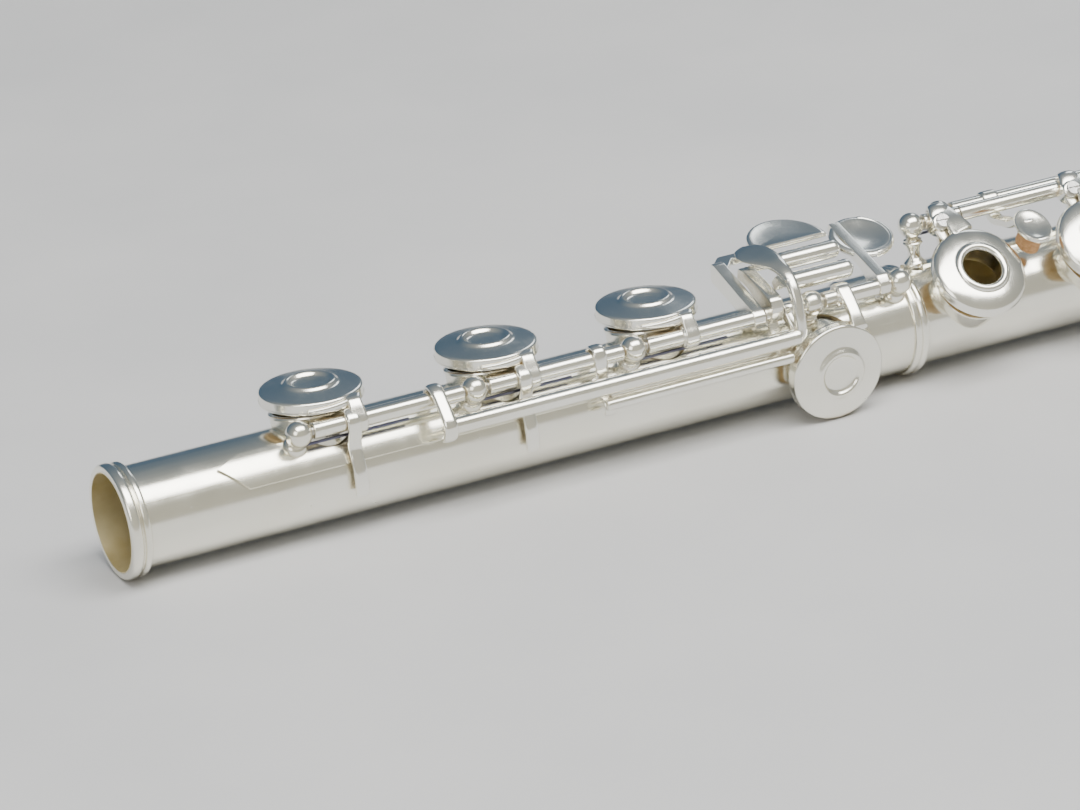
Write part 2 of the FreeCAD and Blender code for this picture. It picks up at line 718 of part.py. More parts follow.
def foot_c_sharp_key():
    pieces, felt = foot_cup("c_sharp", C_SHARP_X, 118.6)
    bar = [(FOOT_LINE.y - 1.0, FOOT_LINE.z + 0.6), (-8.9, 13.6), (6.2, 18.4), (7.4, 18.2),
           (7.4, 14.5), (-2.9, 11.6), (FOOT_LINE.y + 0.8, FOOT_LINE.z - 1.0)]
    strip = [(132.6, 4.8), (134.9, 4.8), (138.6, 9.7), (147.0, 9.7), (147.0, 12.1), (136.6, 12.1),
             (132.6, 7.2)]
    seat_of_plate = Placement(Vector(149.9, 6.4, 18.6), Rotation(Vector(1, 0, 0), 8.0))
    leaf = oval("c_sharp_leaf", 8.4, 9.3, 0.0, "touch_thickness", seat_of_plate)
    trim = box("c_sharp_trim", 20.0, 12.0, 4.0,
               seat_of_plate.multiply(Placement(Vector(-10.0, -12.4, -1.0), Rotation())))
    pieces += [
        hinge_tube("c_sharp_tube", FOOT_LINE, 109.35, 135.1),
        plate("c_sharp_bar", bar, 132.5, "lever_width"),
        slab("c_sharp_strip", strip, 15.9, 1.6, Placement()),
        box("c_sharp_riser", 3.0, 2.4, 3.8, Placement(Vector(144.0, 9.7, 15.9), Rotation())),
        cut("c_sharp_plate", leaf, [trim])]
    node(drilled("c_sharp_key_body", pieces, FOOT_LINE, 109.0, 135.2), "foot_c_sharp_key")
    node(felt, "foot_c_sharp_pad")


def d_sharp_key():
    pieces, felt = cup_with_arm("d_sharp", D_SHARP_X, D_SHARP_HOLE, FOOT_LINE, 0.0,
                                "foot_cup_radius", 153.0, 3.0)
    bar = [(FOOT_LINE.y - 1.0, FOOT_LINE.z + 0.6), (-8.6, 14.2), (10.2, 19.3), (10.7, 17.6),
           (-2.0, 13.8), (FOOT_LINE.y + 0.8, FOOT_LINE.z - 1.0)]
    touch = Placement(Vector(165.3, 4.7, 16.7), Rotation(Vector(1, 0, 0), 16))
    pieces += [
        hinge_tube("d_sharp_tube", FOOT_LINE, 148.85, 163.45),
        plate("d_sharp_bar", bar, 160.9, "lever_width"),
        oval("d_sharp_touch", 6.6, 6.6, 0.0, "touch_thickness", touch)]
    node(drilled("d_sharp_key_body", pieces, FOOT_LINE, 148.0, 163.5), "d_sharp_key")
    node(felt, "d_sharp_pad")


def roller(name, label, start, end, axis):
    outside = turned(name + "_outside", [
        (start, 0.0), (start, "roller_radius - 0.5"), (start + 0.5, "roller_radius"),
        (end - 0.5, "roller_radius"), (end, "roller_radius - 0.5"), (end, 0.0)],
        Placement(Vector(0, axis[0], axis[1]), Rotation()), axis="X")
    hole = rod(name + "_hole", "roller_bore", start - 1, end + 1, *axis)
    node(cut(name, outside, [hole]), label)


def foot_joint():
    foot_joint_tubes()
    notches = [clearance("foot_notch_" + name, x, angle, radius)
               for name, x, angle, radius in FOOT_HOLE_LIST]
    shell = cut("foot_rib_shell", rod("foot_rib_outside", "rib_radius", 19.0, FOOT_RIB_END),
                [rod("foot_rib_inside", "tube_radius", 18.0, FOOT_RIB_END + 1.0),
                 rod("foot_rib_socket", "socket_radius", SOCKET_START - 0.6, FOOT_RIB_END + 1.0)])
    strip = slab("foot_rib_strip", [
        (19.6, 1.0), (24.6, -4.0), (167.9, -4.0), (167.9, 3.2), (24.6, 3.2)],
        5.0, 10.0, seat(0, 44.0))
    node(cut("foot_rib", common("foot_rib_strap", shell, strip), notches), "foot_rib")
    steels = [steel("foot_steel_low", FOOT_LINE, 34.0, FOOT_POSTS[2]),
              steel("foot_steel_high", FOOT_LINE, FOOT_POSTS[2], 168.2)]
    stations = [(x, FOOT_LINE, None) for x in FOOT_POSTS]
    seats = [rod("foot_post_seat", "rib_radius", 20.0, FOOT_RIB_END),
             rod("foot_ring_seat", "ring_radius", FOOT_RIB_END, FOOT_TUBE_END + 0.4)]
    posts("foot_post", "foot_posts", stations, steels, seats + notches)
    node(fuse("foot_steels", steels), "foot_steel_rods")
    needles = [needle("b_needle", 36.4, 22.0, FOOT_LINE, 1),
               needle("c_needle", 73.1, 20.0, FOOT_LINE, 1),
               needle("c_sharp_needle", 107.3, 20.0, FOOT_LINE, 1)]
    node(fuse("foot_needles", needles), "foot_springs")
    b_key()
    c_key()
    foot_c_sharp_key()
    d_sharp_key()
    roller("b_roller_barrel", "b_roller", 143.6, 157.0, B_ROLLER_AXIS)
    roller("c_roller_barrel", "c_roller", 144.6, 157.8, C_ROLLER_AXIS)


# ---------------------------------------------------------------- body joint keys

MAIN_POSTS = (176.0, 248.5, 322.8, 362.7, 406.8)
BACK_POSTS = (270.5, 302.8, 337.0, 386.8)
TRILL_POSTS = (186.0, 441.4)

# name, label, hinge tube start and end, and (cup name, x, arm x, style) for each cup
MAIN_KEYS = [
    ("d", "d_key", 178.75, 187.0, [("d", D_X, D_X - 0.4, "open")]),
    ("e", "e_key", 187.15, 217.5, [("e", E_X, E_X + 1.2, "open")]),
    ("f", "f_key", 217.65, 245.75, [("f", F_X, F_X, "open")]),
    ("f_sharp", "f_sharp_key", 251.25, 271.5, [("f_sharp", F_SHARP_X, F_SHARP_X, "closed")]),
    ("g", "g_key", 271.65, 320.05, [("g", G_X, G_X, "closed"),
                                    ("upper_g", UPPER_G_X, UPPER_G_X, "open")]),
    ("a", "a_key", 325.55, 343.9, [("a", A_X, A_X, "open")]),
    ("b_flat", "b_flat_key", 344.05, 359.95, [("b_flat", B_FLAT_X, B_FLAT_X - 3.0, "closed")]),
]


def main_key(name, label, start, end, cups):
    pieces = [hinge_tube(name + "_main_tube", MAIN_LINE, start, end)]
    felts = []
    for cup_name, x, arm_x, style in cups:
        parts, felt = cup_with_arm("main_" + cup_name, x, BODY_HOLES, MAIN_LINE, -BODY_OPEN,
                                   "cup_radius", arm_x, style=style)
        spur = plate(f"{cup_name}_spur", polar_strap([(17.6, -8.5), (11.3, -5.0)], 1.2),
                     arm_x - 1.2, 2.4)
        pieces += parts + [spur]
        felts.append(felt)
    screw_x = cups[0][2] - 1.8
    holes = []
    if label in ("d_key", "e_key"):
        ear = Placement(Vector(screw_x, 0.6, 17.5), Rotation(Vector(1, 0, 0), 50.0))
        pieces.append(cylinder(name + "_ear", 1.9, 2.6, ear))
        shank = cylinder(name + "_screw_shank", "steel_radius", 3.4,
                         ear.multiply(Placement(Vector(0, 0, -0.5), Rotation())))
        head = cylinder(name + "_screw_head", 1.35, 0.7,
                        ear.multiply(Placement(Vector(0, 0, 2.6), Rotation())))
        slot = box(name + "_screw_slot", 3.4, 0.35, 0.5,
                   ear.multiply(Placement(Vector(-1.7, -0.175, 3.0), Rotation())))
        blank = fuse(name + "_screw_blank", [shank, head])
        node(cut(name + "_screw", blank, [slot]), label + "_screw")
        holes.append(blank)
    bore = rod(name + "_main_bore", "hinge_tube_bore", start - 1, end + 1, MAIN_LINE.y, MAIN_LINE.z)
    node(cut(name + "_main_key", fuse(name + "_main_joined", pieces), [bore] + holes), label)
    node(felts[0] if len(felts) == 1 else fuse(name + "_pads", felts), label.replace("key", "pad"))


def upper_c_sharp_key():
    pieces, felt = cup_with_arm("upper_c_sharp", UPPER_C_SHARP_X, BODY_HOLES, MAIN_LINE, -BODY_OPEN,
                                "small_cup_radius", UPPER_C_SHARP_X, style="small")
    arm = polar_strap([(18.2, -9.5), (19.6, -2.0), (19.2, 12.0), (17.6, 26.0), (16.7, 38.0)], 1.6)
    pieces += [
        hinge_tube("upper_c_sharp_tube", MAIN_LINE, 365.45, 404.05),
        collar("upper_c_sharp_touch_collar", MAIN_LINE, 383.0, 4.4),
        plate("upper_c_sharp_touch_arm", arm, 381.2, 3.6),
        oval("upper_c_sharp_touch", 8.0, 5.4, 15.9, "touch_thickness", seat(383.0, 42.0))]
    node(drilled("upper_c_sharp_body", pieces, MAIN_LINE, 365.0, 404.1), "upper_c_sharp_key")
    node(felt, "upper_c_sharp_pad")


def trill_key(name, label, cup_x, touch_x, tubes, half_length, steel_run=None):
    """A closed-standing trill key: its touch crosses under the main line to lie between two cups."""
    pieces, felt = cup_with_arm(name, cup_x, TRILL_HOLES, TRILL_LINE, 0.0, "small_cup_radius", cup_x,
                                style="small")
    arm = polar_strap([(18.7, -27.4), (15.4, -25.0), (14.5, -12.0), (14.8, 3.0), (16.8, 14.0),
                       (18.3, 24.0)], 1.7)
    touch = seat(touch_x, 27.0)
    pieces += [hinge_tube(f"{name}_tube_{index}", TRILL_LINE, start, end)
               for index, (start, end) in enumerate(tubes)]
    lever = plate(name + "_lever", arm, touch_x - 1.3, 2.6)
    pieces += [lever,
               collar(name + "_lever_collar", TRILL_LINE, touch_x, 3.4),
               oval(name + "_touch", half_length, 4.6, 17.6, "touch_thickness", touch)]
    if steel_run:
        pieces.append(steel(name + "_steel", TRILL_LINE, *steel_run))
        node(fuse(name + "_body", pieces), label)
    else:
        node(drilled(name + "_body", pieces, TRILL_LINE, tubes[0][0], tubes[0][1]), label)
    node(felt, label.replace("key", "pad"))
    block = oval(name + "_cork_block", 2.3, 2.9, 13.0, 4.6, touch)
    node(cut(name + "_cork", block, [lever]), label.replace("key", "cork"))


def back_touch(name, touch_x, half_length, angle):
    """A thumb plate behind the tube and its arm from the back hinge line."""
    arm = polar_strap([(14.5, -48.0), (16.9, -56.0), (17.2, -70.0), (16.4, angle + 3.0)], 1.6)
    return [plate(name + "_touch_arm", arm, touch_x - 1.8, 3.6),
            oval(name + "_touch", half_length, 5.0, 15.6, "touch_thickness", seat(touch_x, angle))]


def back_keys():
    radius = "cup_radius - 0.6"
    pieces, felt = cup_with_arm("thumb", THUMB_X, BACK_HOLES, BACK_LINE, THUMB_OPEN, radius,
                                THUMB_X - 4.0)
    pieces += back_touch("thumb", 358.6, 6.4, -88.0) + [hinge_tube("thumb_tube", BACK_LINE, 352.6, 384.05)]
    node(drilled("thumb_body", pieces, BACK_LINE, 352.0, 384.1), "thumb_b_key")
    node(felt, "thumb_b_pad")

    lever = back_touch("thumb_b_flat", 345.6, 5.6, -88.0) + [
        hinge_tube("thumb_b_flat_tube", BACK_LINE, 339.75, 352.45)]
    node(drilled("thumb_b_flat_body", lever, BACK_LINE, 339.0, 352.5), "thumb_b_flat_lever")

    pieces, felt = cup_with_arm("g_sharp", G_X, BACK_HOLES, BACK_LINE, 0.0, radius, G_X - 4.0)
    reach = polar_strap([(14.0, 62.0), (14.0, 72.0), (15.4, 84.0), (16.9, 94.0), (16.9, 100.0)], 1.6)
    pieces += [
        hinge_tube("g_sharp_tube", BACK_LINE, 273.25, 300.05),
        band("g_sharp_band", 14.8, 1.6, 277.0, 3.2, -48.0, 114.0),
        plate("g_sharp_reach", reach, 277.0, 3.2),
        oval("g_sharp_touch", 9.0, 3.2, 16.3, "touch_thickness", seat(284.6, 99.0))]
    node(drilled("g_sharp_body", pieces, BACK_LINE, 273.0, 300.1), "g_sharp_key")
    node(felt, "g_sharp_pad")


def body_joint():
    body_joint_tubes()
    notches = [clearance("body_notch_" + name, x, angle, radius)
               for name, x, angle, radius in BODY_HOLE_LIST]
    low = BODY_RIB_START - 1.0
    high = BODY_RIB_END + 1.0
    shell = cut("body_rib_shell", rod("body_rib_outside", "rib_radius", BODY_RIB_START, BODY_RIB_END),
                [rod("body_rib_inside", "tube_radius", low, high)])
    strip = slab("body_rib_strip", [
        (BODY_RIB_START + 0.4, 0.0), (BODY_RIB_START + 3.4, -3.9), (BODY_RIB_END - 0.2, -3.9),
        (BODY_RIB_END - 0.2, 3.9), (BODY_RIB_START + 3.4, 3.9)], 5.0, 10.0, seat(0, -18.5))
    rib = common("body_rib_strap", shell, strip)
    node(cut("body_rib", rib, notches), "body_rib")
    main_steels = [steel(f"main_steel_{index}", MAIN_LINE, start, end) for index, (start, end) in
                   enumerate(zip(MAIN_POSTS[:-1], MAIN_POSTS[1:]))]
    back_steels = [steel("back_steel_low", BACK_LINE, *BACK_POSTS[:2]),
                   steel("back_steel_high", BACK_LINE, *BACK_POSTS[2:])]
    stations = [(x, MAIN_LINE, None) for x in MAIN_POSTS]
    stations += [(x, BACK_LINE, None) for x in BACK_POSTS]
    stations += [(x, TRILL_LINE, "hinge_tube_bore") for x in TRILL_POSTS]
    seats = [rod("body_post_seat", "tube_radius", low, high), rib]
    posts("body_post", "body_posts", stations, main_steels + back_steels, seats + notches)
    node(fuse("main_steels", main_steels), "main_steel_rods")
    node(fuse("back_steels", back_steels), "back_steel_rods")
    needles = [needle("d_needle", 176.7, 8.0, MAIN_LINE, -1),
               needle("f_needle", 247.8, -20.0, MAIN_LINE, -1),
               needle("f_sharp_needle", 249.2, 12.0, MAIN_LINE, -1),
               needle("g_needle", 322.1, -24.0, MAIN_LINE, -1),
               needle("a_needle", 323.5, 9.0, MAIN_LINE, -1),
               needle("b_flat_needle", 362.0, -8.0, MAIN_LINE, -1),
               needle("c_sharp_body_needle", 406.1, -22.0, MAIN_LINE, -1),
               needle("g_sharp_needle", 302.1, -10.0, BACK_LINE, 1),
               needle("thumb_needle", 386.1, -18.0, BACK_LINE, 1),
               needle("thumb_b_flat_needle", 337.7, 10.0, BACK_LINE, 1)]
    node(fuse("body_needles", needles), "body_springs")
    for key in MAIN_KEYS:
        main_key(*key)
    upper_c_sharp_key()
    trill_key("d_sharp_trill", "d_sharp_trill_key", D_SHARP_TRILL_X, (D_X + E_X) / 2,
              [(188.75, 222.05), (430.15, 438.65)], 3.7, (184.8, 442.6))
    trill_key("d_trill", "d_trill_key", D_TRILL_X, (E_X + F_X) / 2, [(222.2, 430.0)], 3.4)
    back_keys()


# ---------------------------------------------------------------- the whole flute

def write_nodes():
    doc.recompute()
    for item in doc.Objects:
        if "Invalid" in item.State or "Error" in item.State:
            raise RuntimeError(f"{item.Name} did not build: {item.State}")
    os.makedirs("parts", exist_ok=True)
    for item in NODES:
        shape = item.Shape
        if shape.isNull() or not shape.isValid() or not shape.Solids:
            raise RuntimeError(f"{item.Label} is not a valid solid")
        shape.exportStep(f"parts/{item.Label}.step")
        print(f"{item.Label}: {len(shape.Solids)} solids, {shape.Volume:.1f} mm3")


foot_joint()
body_joint()
head_joint()
stopper()
write_nodes()
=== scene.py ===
"""Looks of a concert flute with a B foot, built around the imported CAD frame.

Sizes are in millimetres until a piece is made, which turns them into metres. Angles about the tube run from
+Z towards -Y, as in the CAD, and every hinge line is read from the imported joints.
"""

import json
import math

import bmesh
import bpy
from mathutils import Matrix, Vector


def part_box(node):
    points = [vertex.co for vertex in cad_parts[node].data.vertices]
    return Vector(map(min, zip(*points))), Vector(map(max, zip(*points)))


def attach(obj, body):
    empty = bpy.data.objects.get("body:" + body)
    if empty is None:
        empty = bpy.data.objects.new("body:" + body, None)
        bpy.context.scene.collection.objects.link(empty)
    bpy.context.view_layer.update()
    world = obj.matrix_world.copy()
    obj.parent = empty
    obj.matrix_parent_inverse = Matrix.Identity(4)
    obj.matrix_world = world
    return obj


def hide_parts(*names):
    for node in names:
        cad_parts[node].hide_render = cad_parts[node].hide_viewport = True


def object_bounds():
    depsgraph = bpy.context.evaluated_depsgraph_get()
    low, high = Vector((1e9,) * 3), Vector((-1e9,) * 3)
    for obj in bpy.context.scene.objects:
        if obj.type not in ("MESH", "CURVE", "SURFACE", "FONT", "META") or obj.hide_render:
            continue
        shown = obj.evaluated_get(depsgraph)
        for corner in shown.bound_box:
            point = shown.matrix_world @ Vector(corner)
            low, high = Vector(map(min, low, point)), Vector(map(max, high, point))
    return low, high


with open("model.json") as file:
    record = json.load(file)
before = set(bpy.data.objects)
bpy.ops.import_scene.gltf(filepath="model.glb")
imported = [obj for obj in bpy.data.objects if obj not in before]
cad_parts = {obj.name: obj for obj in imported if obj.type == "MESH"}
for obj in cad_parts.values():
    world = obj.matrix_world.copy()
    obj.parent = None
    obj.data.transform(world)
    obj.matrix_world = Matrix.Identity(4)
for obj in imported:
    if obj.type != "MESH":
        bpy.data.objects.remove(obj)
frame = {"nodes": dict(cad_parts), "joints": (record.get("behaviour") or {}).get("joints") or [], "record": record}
CAD_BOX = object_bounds()

MM = 0.001


# ---------------------------------------- places

def hinge_line(body):
    """(y, z) in mm of the hinge line that a key body turns about."""
    joint = next(j for j in frame["joints"] if j["child"] == body)
    return Vector((0.0, joint["pos_m"][1] / MM, joint["pos_m"][2] / MM))


FOOT_LINE = hinge_line("b_key")
MAIN_LINE = hinge_line("d_key")
TRILL_LINE = hinge_line("d_trill_key")
BACK_LINE = hinge_line("g_sharp_key")


def polar(radius, angle):
    """(y, z) at this radius and angle about the tube."""
    return (-radius * math.sin(math.radians(angle)), radius * math.cos(math.radians(angle)))


# (y, z) of the rods and roller axles of the low B and low C keys.
OUTER_ROD = polar(15.6, 59.0)
SECOND_ROD = polar(14.0, 73.0)
B_ROLLER_AXIS = (-5.0, 16.0)
C_ROLLER_AXIS = (1.6, 17.8)

# Angles of the rows of tone holes, then how far the open keys stand off them.
FOOT_HOLES = -11.0
D_SHARP_HOLE = 94.0
BODY_HOLES = 48.5
BACK_HOLES = -94.0
TRILL_HOLES = -77.4
FOOT_OPEN = 8.5
BODY_OPEN = 7.5
THUMB_OPEN = 8.5

# Radii of the cups, of the rims their pads close on, and of the hinge parts.
FOOT_CUP = 10.1
BODY_CUP = 9.8
BACK_CUP = 9.2
SMALL_CUP = 5.7
FOOT_RIM = 8.0
LOW_RIM = 7.4
HIGH_RIM = 7.0
SMALL_RIM = 4.1
HINGE_TUBE = 1.65
OUTER_ROD_RADIUS = 1.7
SECOND_ROD_RADIUS = 1.15
ROLLER_AXLE_RADIUS = 0.75


def seat(x, angle):
    """A frame at x on the tube's axis whose Z axis points out of the tube at this angle."""
    return Matrix.Translation((x, 0, 0)) @ Matrix.Rotation(math.radians(angle), 4, "X")


def tilted(line, degrees):
    """A turn about a hinge line."""
    pivot = Matrix.Translation(line)
    return pivot @ Matrix.Rotation(math.radians(degrees), 4, "X") @ pivot.inverted()


def along_x(x, y=0.0, z=0.0):
    """A frame whose Z axis runs along the tube."""
    return Matrix.Translation((x, y, z)) @ Matrix.Rotation(math.radians(90), 4, "Y")


def middle_x(node):
    """The middle of a CAD node along the tube."""
    low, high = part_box(node)
    return (low.x + high.x) / 2 / MM


# ---------------------------------------- shells

def through(points, steps=6):
    """A smooth run of samples through control points of any width."""
    samples = []
    count = len(points)
    for index in range(count - 1):
        before = points[max(index - 1, 0)]
        start, end = points[index], points[index + 1]
        after = points[min(index + 2, count - 1)]
        for step in range(steps):
            t = step / steps
            samples.append(tuple(
                0.5 * (2 * b + (c - a) * t + (2 * a - 5 * b + 4 * c - d) * t ** 2
                       + (3 * b - a - 3 * c + d) * t ** 3)
                for a, b, c, d in zip(before, start, end, after)))
    samples.append(tuple(points[-1]))
    return samples


def rounded(points, radius, steps=4, closed=False):
    """An outline of (u, v) points with each corner rounded."""
    count = len(points)
    result = []
    for index, point in enumerate(points):
        if not closed and index in (0, count - 1):
            result.append(tuple(point))
            continue
        corner = Vector(point)
        back = Vector(points[index - 1]) - corner
        ahead = Vector(points[(index + 1) % count]) - corner
        reach = min(radius, 0.45 * back.length, 0.45 * ahead.length)
        start = corner + back.normalized() * reach
        end = corner + ahead.normalized() * reach
        for step in range(steps + 1):
            t = step / steps
            result.append(tuple(start * (1 - t) ** 2 + corner * 2 * t * (1 - t) + end * t ** 2))
    return result


def joined(rings):
    """Faces between neighbouring rings of vertex numbers; a ring of one is a pole."""
    faces = []
    for first, second in zip(rings, rings[1:]):
        count = max(len(first), len(second))
        for k in range(count):
            n = (k + 1) % count
            if len(first) == 1:
                faces.append((first[0], second[k], second[n]))
            elif len(second) == 1:
                faces.append((first[k], second[0], first[n]))
            else:
                faces.append((first[k], second[k], second[n], first[n]))
    return faces


def ringed(loops, closed=False):
    """A shell from loops of points; a loop of one point is a pole."""
    verts = []
    rings = []
    for loop in loops:
        rings.append(range(len(verts), len(verts) + len(loop)))
        verts.extend(loop)
    if closed:
        rings.append(rings[0])
    return verts, joined(rings)


def lathe(profile, place, steps=72, closed=False):
    """A shell turned about place's Z axis from (radius, height) points."""
    loops = []
    for radius, height in profile:
        if radius < 1e-6:
            loops.append([place @ Vector((0, 0, height))])
            continue
        loop = []
        for k in range(steps):
            turn = 2 * math.pi * k / steps
            loop.append(place @ Vector((radius * math.cos(turn), radius * math.sin(turn), height)))
        loops.append(loop)
    return ringed(loops, closed)


def bar(radius, start, end, y, z, edge=0.25, steps=32):
    """A round bar along the tube with softened ends."""
    length = end - start
    profile = rounded([(0, 0), (radius, 0), (radius, length), (0, length)], edge)
    return lathe(profile, along_x(start, y, z), steps)


def section(power, count=24):
    """A rounded rectangle of half width and half height 1; a low power is nearer to an oval."""
    points = []
    for k in range(count):
        turn = 2 * math.pi * (k + 0.5) / count
        c, s = math.cos(turn), math.sin(turn)
        points.append((math.copysign(abs(c) ** (2 / power), c), math.copysign(abs(s) ** (2 / power), s)))
    return points


def sweep(path, side=(1, 0, 0), power=5.0, steps=6):
    """A round-ended strap along a path of (x, y, z, width, thickness), its width lying along side."""
    samples = through(path, steps)
    shape = section(power)
    loops = []
    last = len(samples) - 1
    for index, (x, y, z, width, thick) in enumerate(samples):
        ahead = Vector(samples[min(index + 1, last)][:3])
        behind = Vector(samples[max(index - 1, 0)][:3])
        run = (ahead - behind).normalized()
        across = Vector(side)
        across = (across - run * across.dot(run)).normalized()
        rise = run.cross(across)
        centre = Vector((x, y, z))

        def loop(scale, shift):
            return [centre + run * shift + across * (u * width / 2 * scale) + rise * (v * thick / 2 * scale)
                    for u, v in shape]

        reach = thick / 2
        if index == 0:
            loops += [[centre - run * reach], loop(0.55, -0.83 * reach), loop(0.85, -0.5 * reach)]
        loops.append(loop(1.0, 0.0))
        if index == last:
            loops += [loop(0.85, 0.5 * reach), loop(0.55, 0.83 * reach), [centre + run * reach]]
    return ringed(loops)


def strap(path, x, width, thickness, power=6.0):
    """A strap across the tube through (y, z) points."""
    return sweep([(x, y, z, width, thickness) for y, z in path], power=power)


def inset(outline, distance):
    """An outline moved inwards all round."""
    count = len(outline)
    area = sum(a[0] * b[1] - b[0] * a[1] for a, b in zip(outline, outline[1:] + outline[:1]))
    side = math.copysign(distance, area)
    result = []
    for index, (u, v) in enumerate(outline):
        run = (Vector(outline[(index + 1) % count]) - Vector(outline[index - 1])).normalized()
        result.append((u - side * run.y, v + side * run.x))
    return result


def slab(outline, place, thickness, corner=0.6, edge=0.3):
    """A flat bar cut to an outline in place's X and Y, with every edge softened."""
    outer = rounded(outline, corner, 4, closed=True)
    middle = inset(outer, edge * 0.3)
    inner = inset(outer, edge)
    half = [(inner, 0.0), (middle, edge * 0.3), (outer, edge)]
    rows = half + [(shape, thickness - height) for shape, height in reversed(half)]
    loops = [[place @ Vector((u, v, height)) for u, v in shape] for shape, height in rows]
    verts, faces = ringed(loops)
    count = len(outer)
    return verts, faces + [tuple(range(count)), tuple(range(len(verts) - count, len(verts)))]


def plank(outline, x, width):
    """A flat bar across the tube, cut to an outline of (y, z) points."""
    across = Matrix(((0, 0, 1, x - width / 2), (1, 0, 0, 0), (0, 1, 0, 0), (0, 0, 0, 1)))
    return slab(outline, across, width)


def ellipse(half_length, half_width, count=64):
    """An outline of an oval."""
    turns = [2 * math.pi * k / count for k in range(count)]
    return [(half_length * math.cos(turn), half_width * math.sin(turn)) for turn in turns]


def dished(outline, profile, place):
    """A touch plate: profile is (share of the outline, height) from the middle below to the middle above."""
    loops = []
    for share, height in profile:
        if share < 1e-6:
            loops.append([place @ Vector((0, 0, height))])
        else:
            loops.append([place @ Vector((u * share, v * share, height)) for u, v in outline])
    return ringed(loops)


def plate_profile(thickness, dish=0.35, edge=0.06):
    """A touch with a rolled rim and a shallow dish."""
    under = [(0, 0), (0.6, 0), (1 - 2 * edge, 0.02), (1 - edge * 0.5, thickness * 0.2)]
    rim = [(1.0, thickness * 0.5), (1 - edge * 0.4, thickness * 0.84), (1 - edge * 1.3, thickness * 0.99),
           (1 - edge * 2.2, thickness)]
    hollow = [(1 - edge * 3.6, thickness - dish * 0.3), (0.5, thickness - dish * 0.8),
              (0.25, thickness - dish), (0, thickness - dish)]
    return under + rim + hollow


# ---------------------------------------- materials

class Nodes:
    """A small helper for building one material's node tree."""

    def __init__(self, name):
        self.material = bpy.data.materials.new(name)
        self.material.use_nodes = True
        self.tree = self.material.node_tree
        self.shader = self.tree.nodes["Principled BSDF"]
        self.place = self.add("ShaderNodeTexCoord").outputs["Object"]

    def add(self, kind, **settings):
        """A new node with its settings."""
        item = self.tree.nodes.new(kind)
        for key, value in settings.items():
            setattr(item, key, value)
        return item

    def link(self, source, target):
        self.tree.links.new(source, target)

    def stretched(self, scale):
        """Object coordinates scaled unevenly, for streaks."""
        mapping = self.add("ShaderNodeMapping")
        mapping.inputs["Scale"].default_value = scale
        self.link(self.place, mapping.inputs["Vector"])
        return mapping.outputs["Vector"]

    def noise(self, scale, detail=4.0, roughness=0.55, vector=None, distortion=0.0):
        item = self.add("ShaderNodeTexNoise")
        item.inputs["Scale"].default_value = scale
        item.inputs["Detail"].default_value = detail
        item.inputs["Roughness"].default_value = roughness
        item.inputs["Distortion"].default_value = distortion
        self.link(vector or self.place, item.inputs["Vector"])
        return item.outputs["Fac"]

    def cells(self, scale, feature="F1"):
        item = self.add("ShaderNodeTexVoronoi", feature=feature)
        item.inputs["Scale"].default_value = scale
        self.link(self.place, item.inputs["Vector"])
        return item.outputs["Distance"]

    def spread(self, source, low, high, to_low=0.0, to_high=1.0):
        """The source with low to high stretched to to_low to to_high, held at both ends."""
        item = self.add("ShaderNodeMapRange")
        for key, value in (("From Min", low), ("From Max", high), ("To Min", to_low), ("To Max", to_high)):
            item.inputs[key].default_value = value
        self.link(source, item.inputs["Value"])
        return item.outputs["Result"]

    def math(self, operation, first, second):
        """Sum, product and so on of two sockets or numbers."""
        item = self.add("ShaderNodeMath", operation=operation)
        for index, value in enumerate((first, second)):
            if isinstance(value, (int, float)):
                item.inputs[index].default_value = value
            else:
                self.link(value, item.inputs[index])
        return item.outputs["Value"]

    def mix(self, factor, first, second):
        """A blend of two colours or colour sockets."""
        item = self.add("ShaderNodeMix", data_type="RGBA")
        self.link(factor, item.inputs["Factor"])
        for socket, value in ((item.inputs[6], first), (item.inputs[7], second)):
            if isinstance(value, tuple):
                socket.default_value = (*value, 1.0)
            else:
                self.link(value, socket)
        return item.outputs[2]

    def colour(self, source):
        self.link(source, self.shader.inputs["Base Color"])

    def rough(self, source):
        self.link(source, self.shader.inputs["Roughness"])

    def bump(self, height, distance, strength=1.0):
        item = self.add("ShaderNodeBump")
        item.inputs["Strength"].default_value = strength
        item.inputs["Distance"].default_value = distance
        self.link(height, item.inputs["Height"])
        self.link(item.outputs["Normal"], self.shader.inputs["Normal"])

    def settle(self, **sockets):
        """Constants on the shader's own sockets; gives the material back."""
        for key, value in sockets.items():
            self.shader.inputs[key.replace("_", " ")].default_value = value
        return self.material


BORE_LIMIT = 0.0097
HEAD_START = 0.46
TARNISH = (0.47, 0.36, 0.18)
TARNISH_REACH = 0.0022
BORE_STAINS = ((0.70, 0.62, 0.38), (0.50, 0.41, 0.20))


def inside_tube(look):
    """1 on the bore of the foot and body tubes, 0 elsewhere."""
    across = look.add("ShaderNodeVectorMath", operation="MULTIPLY")
    across.inputs[1].default_value = (0.0, 1.0, 1.0)
    look.link(look.place, across.inputs[0])
    length = look.add("ShaderNodeVectorMath", operation="LENGTH")
    look.link(across.outputs["Vector"], length.inputs[0])
    split = look.add("ShaderNodeSeparateXYZ")
    look.link(look.place, split.inputs["Vector"])
    near_axis = look.math("LESS_THAN", length.outputs["Value"], BORE_LIMIT)
    below_head = look.math("LESS_THAN", split.outputs["X"], HEAD_START)
    return look.math("MULTIPLY", near_axis, below_head)


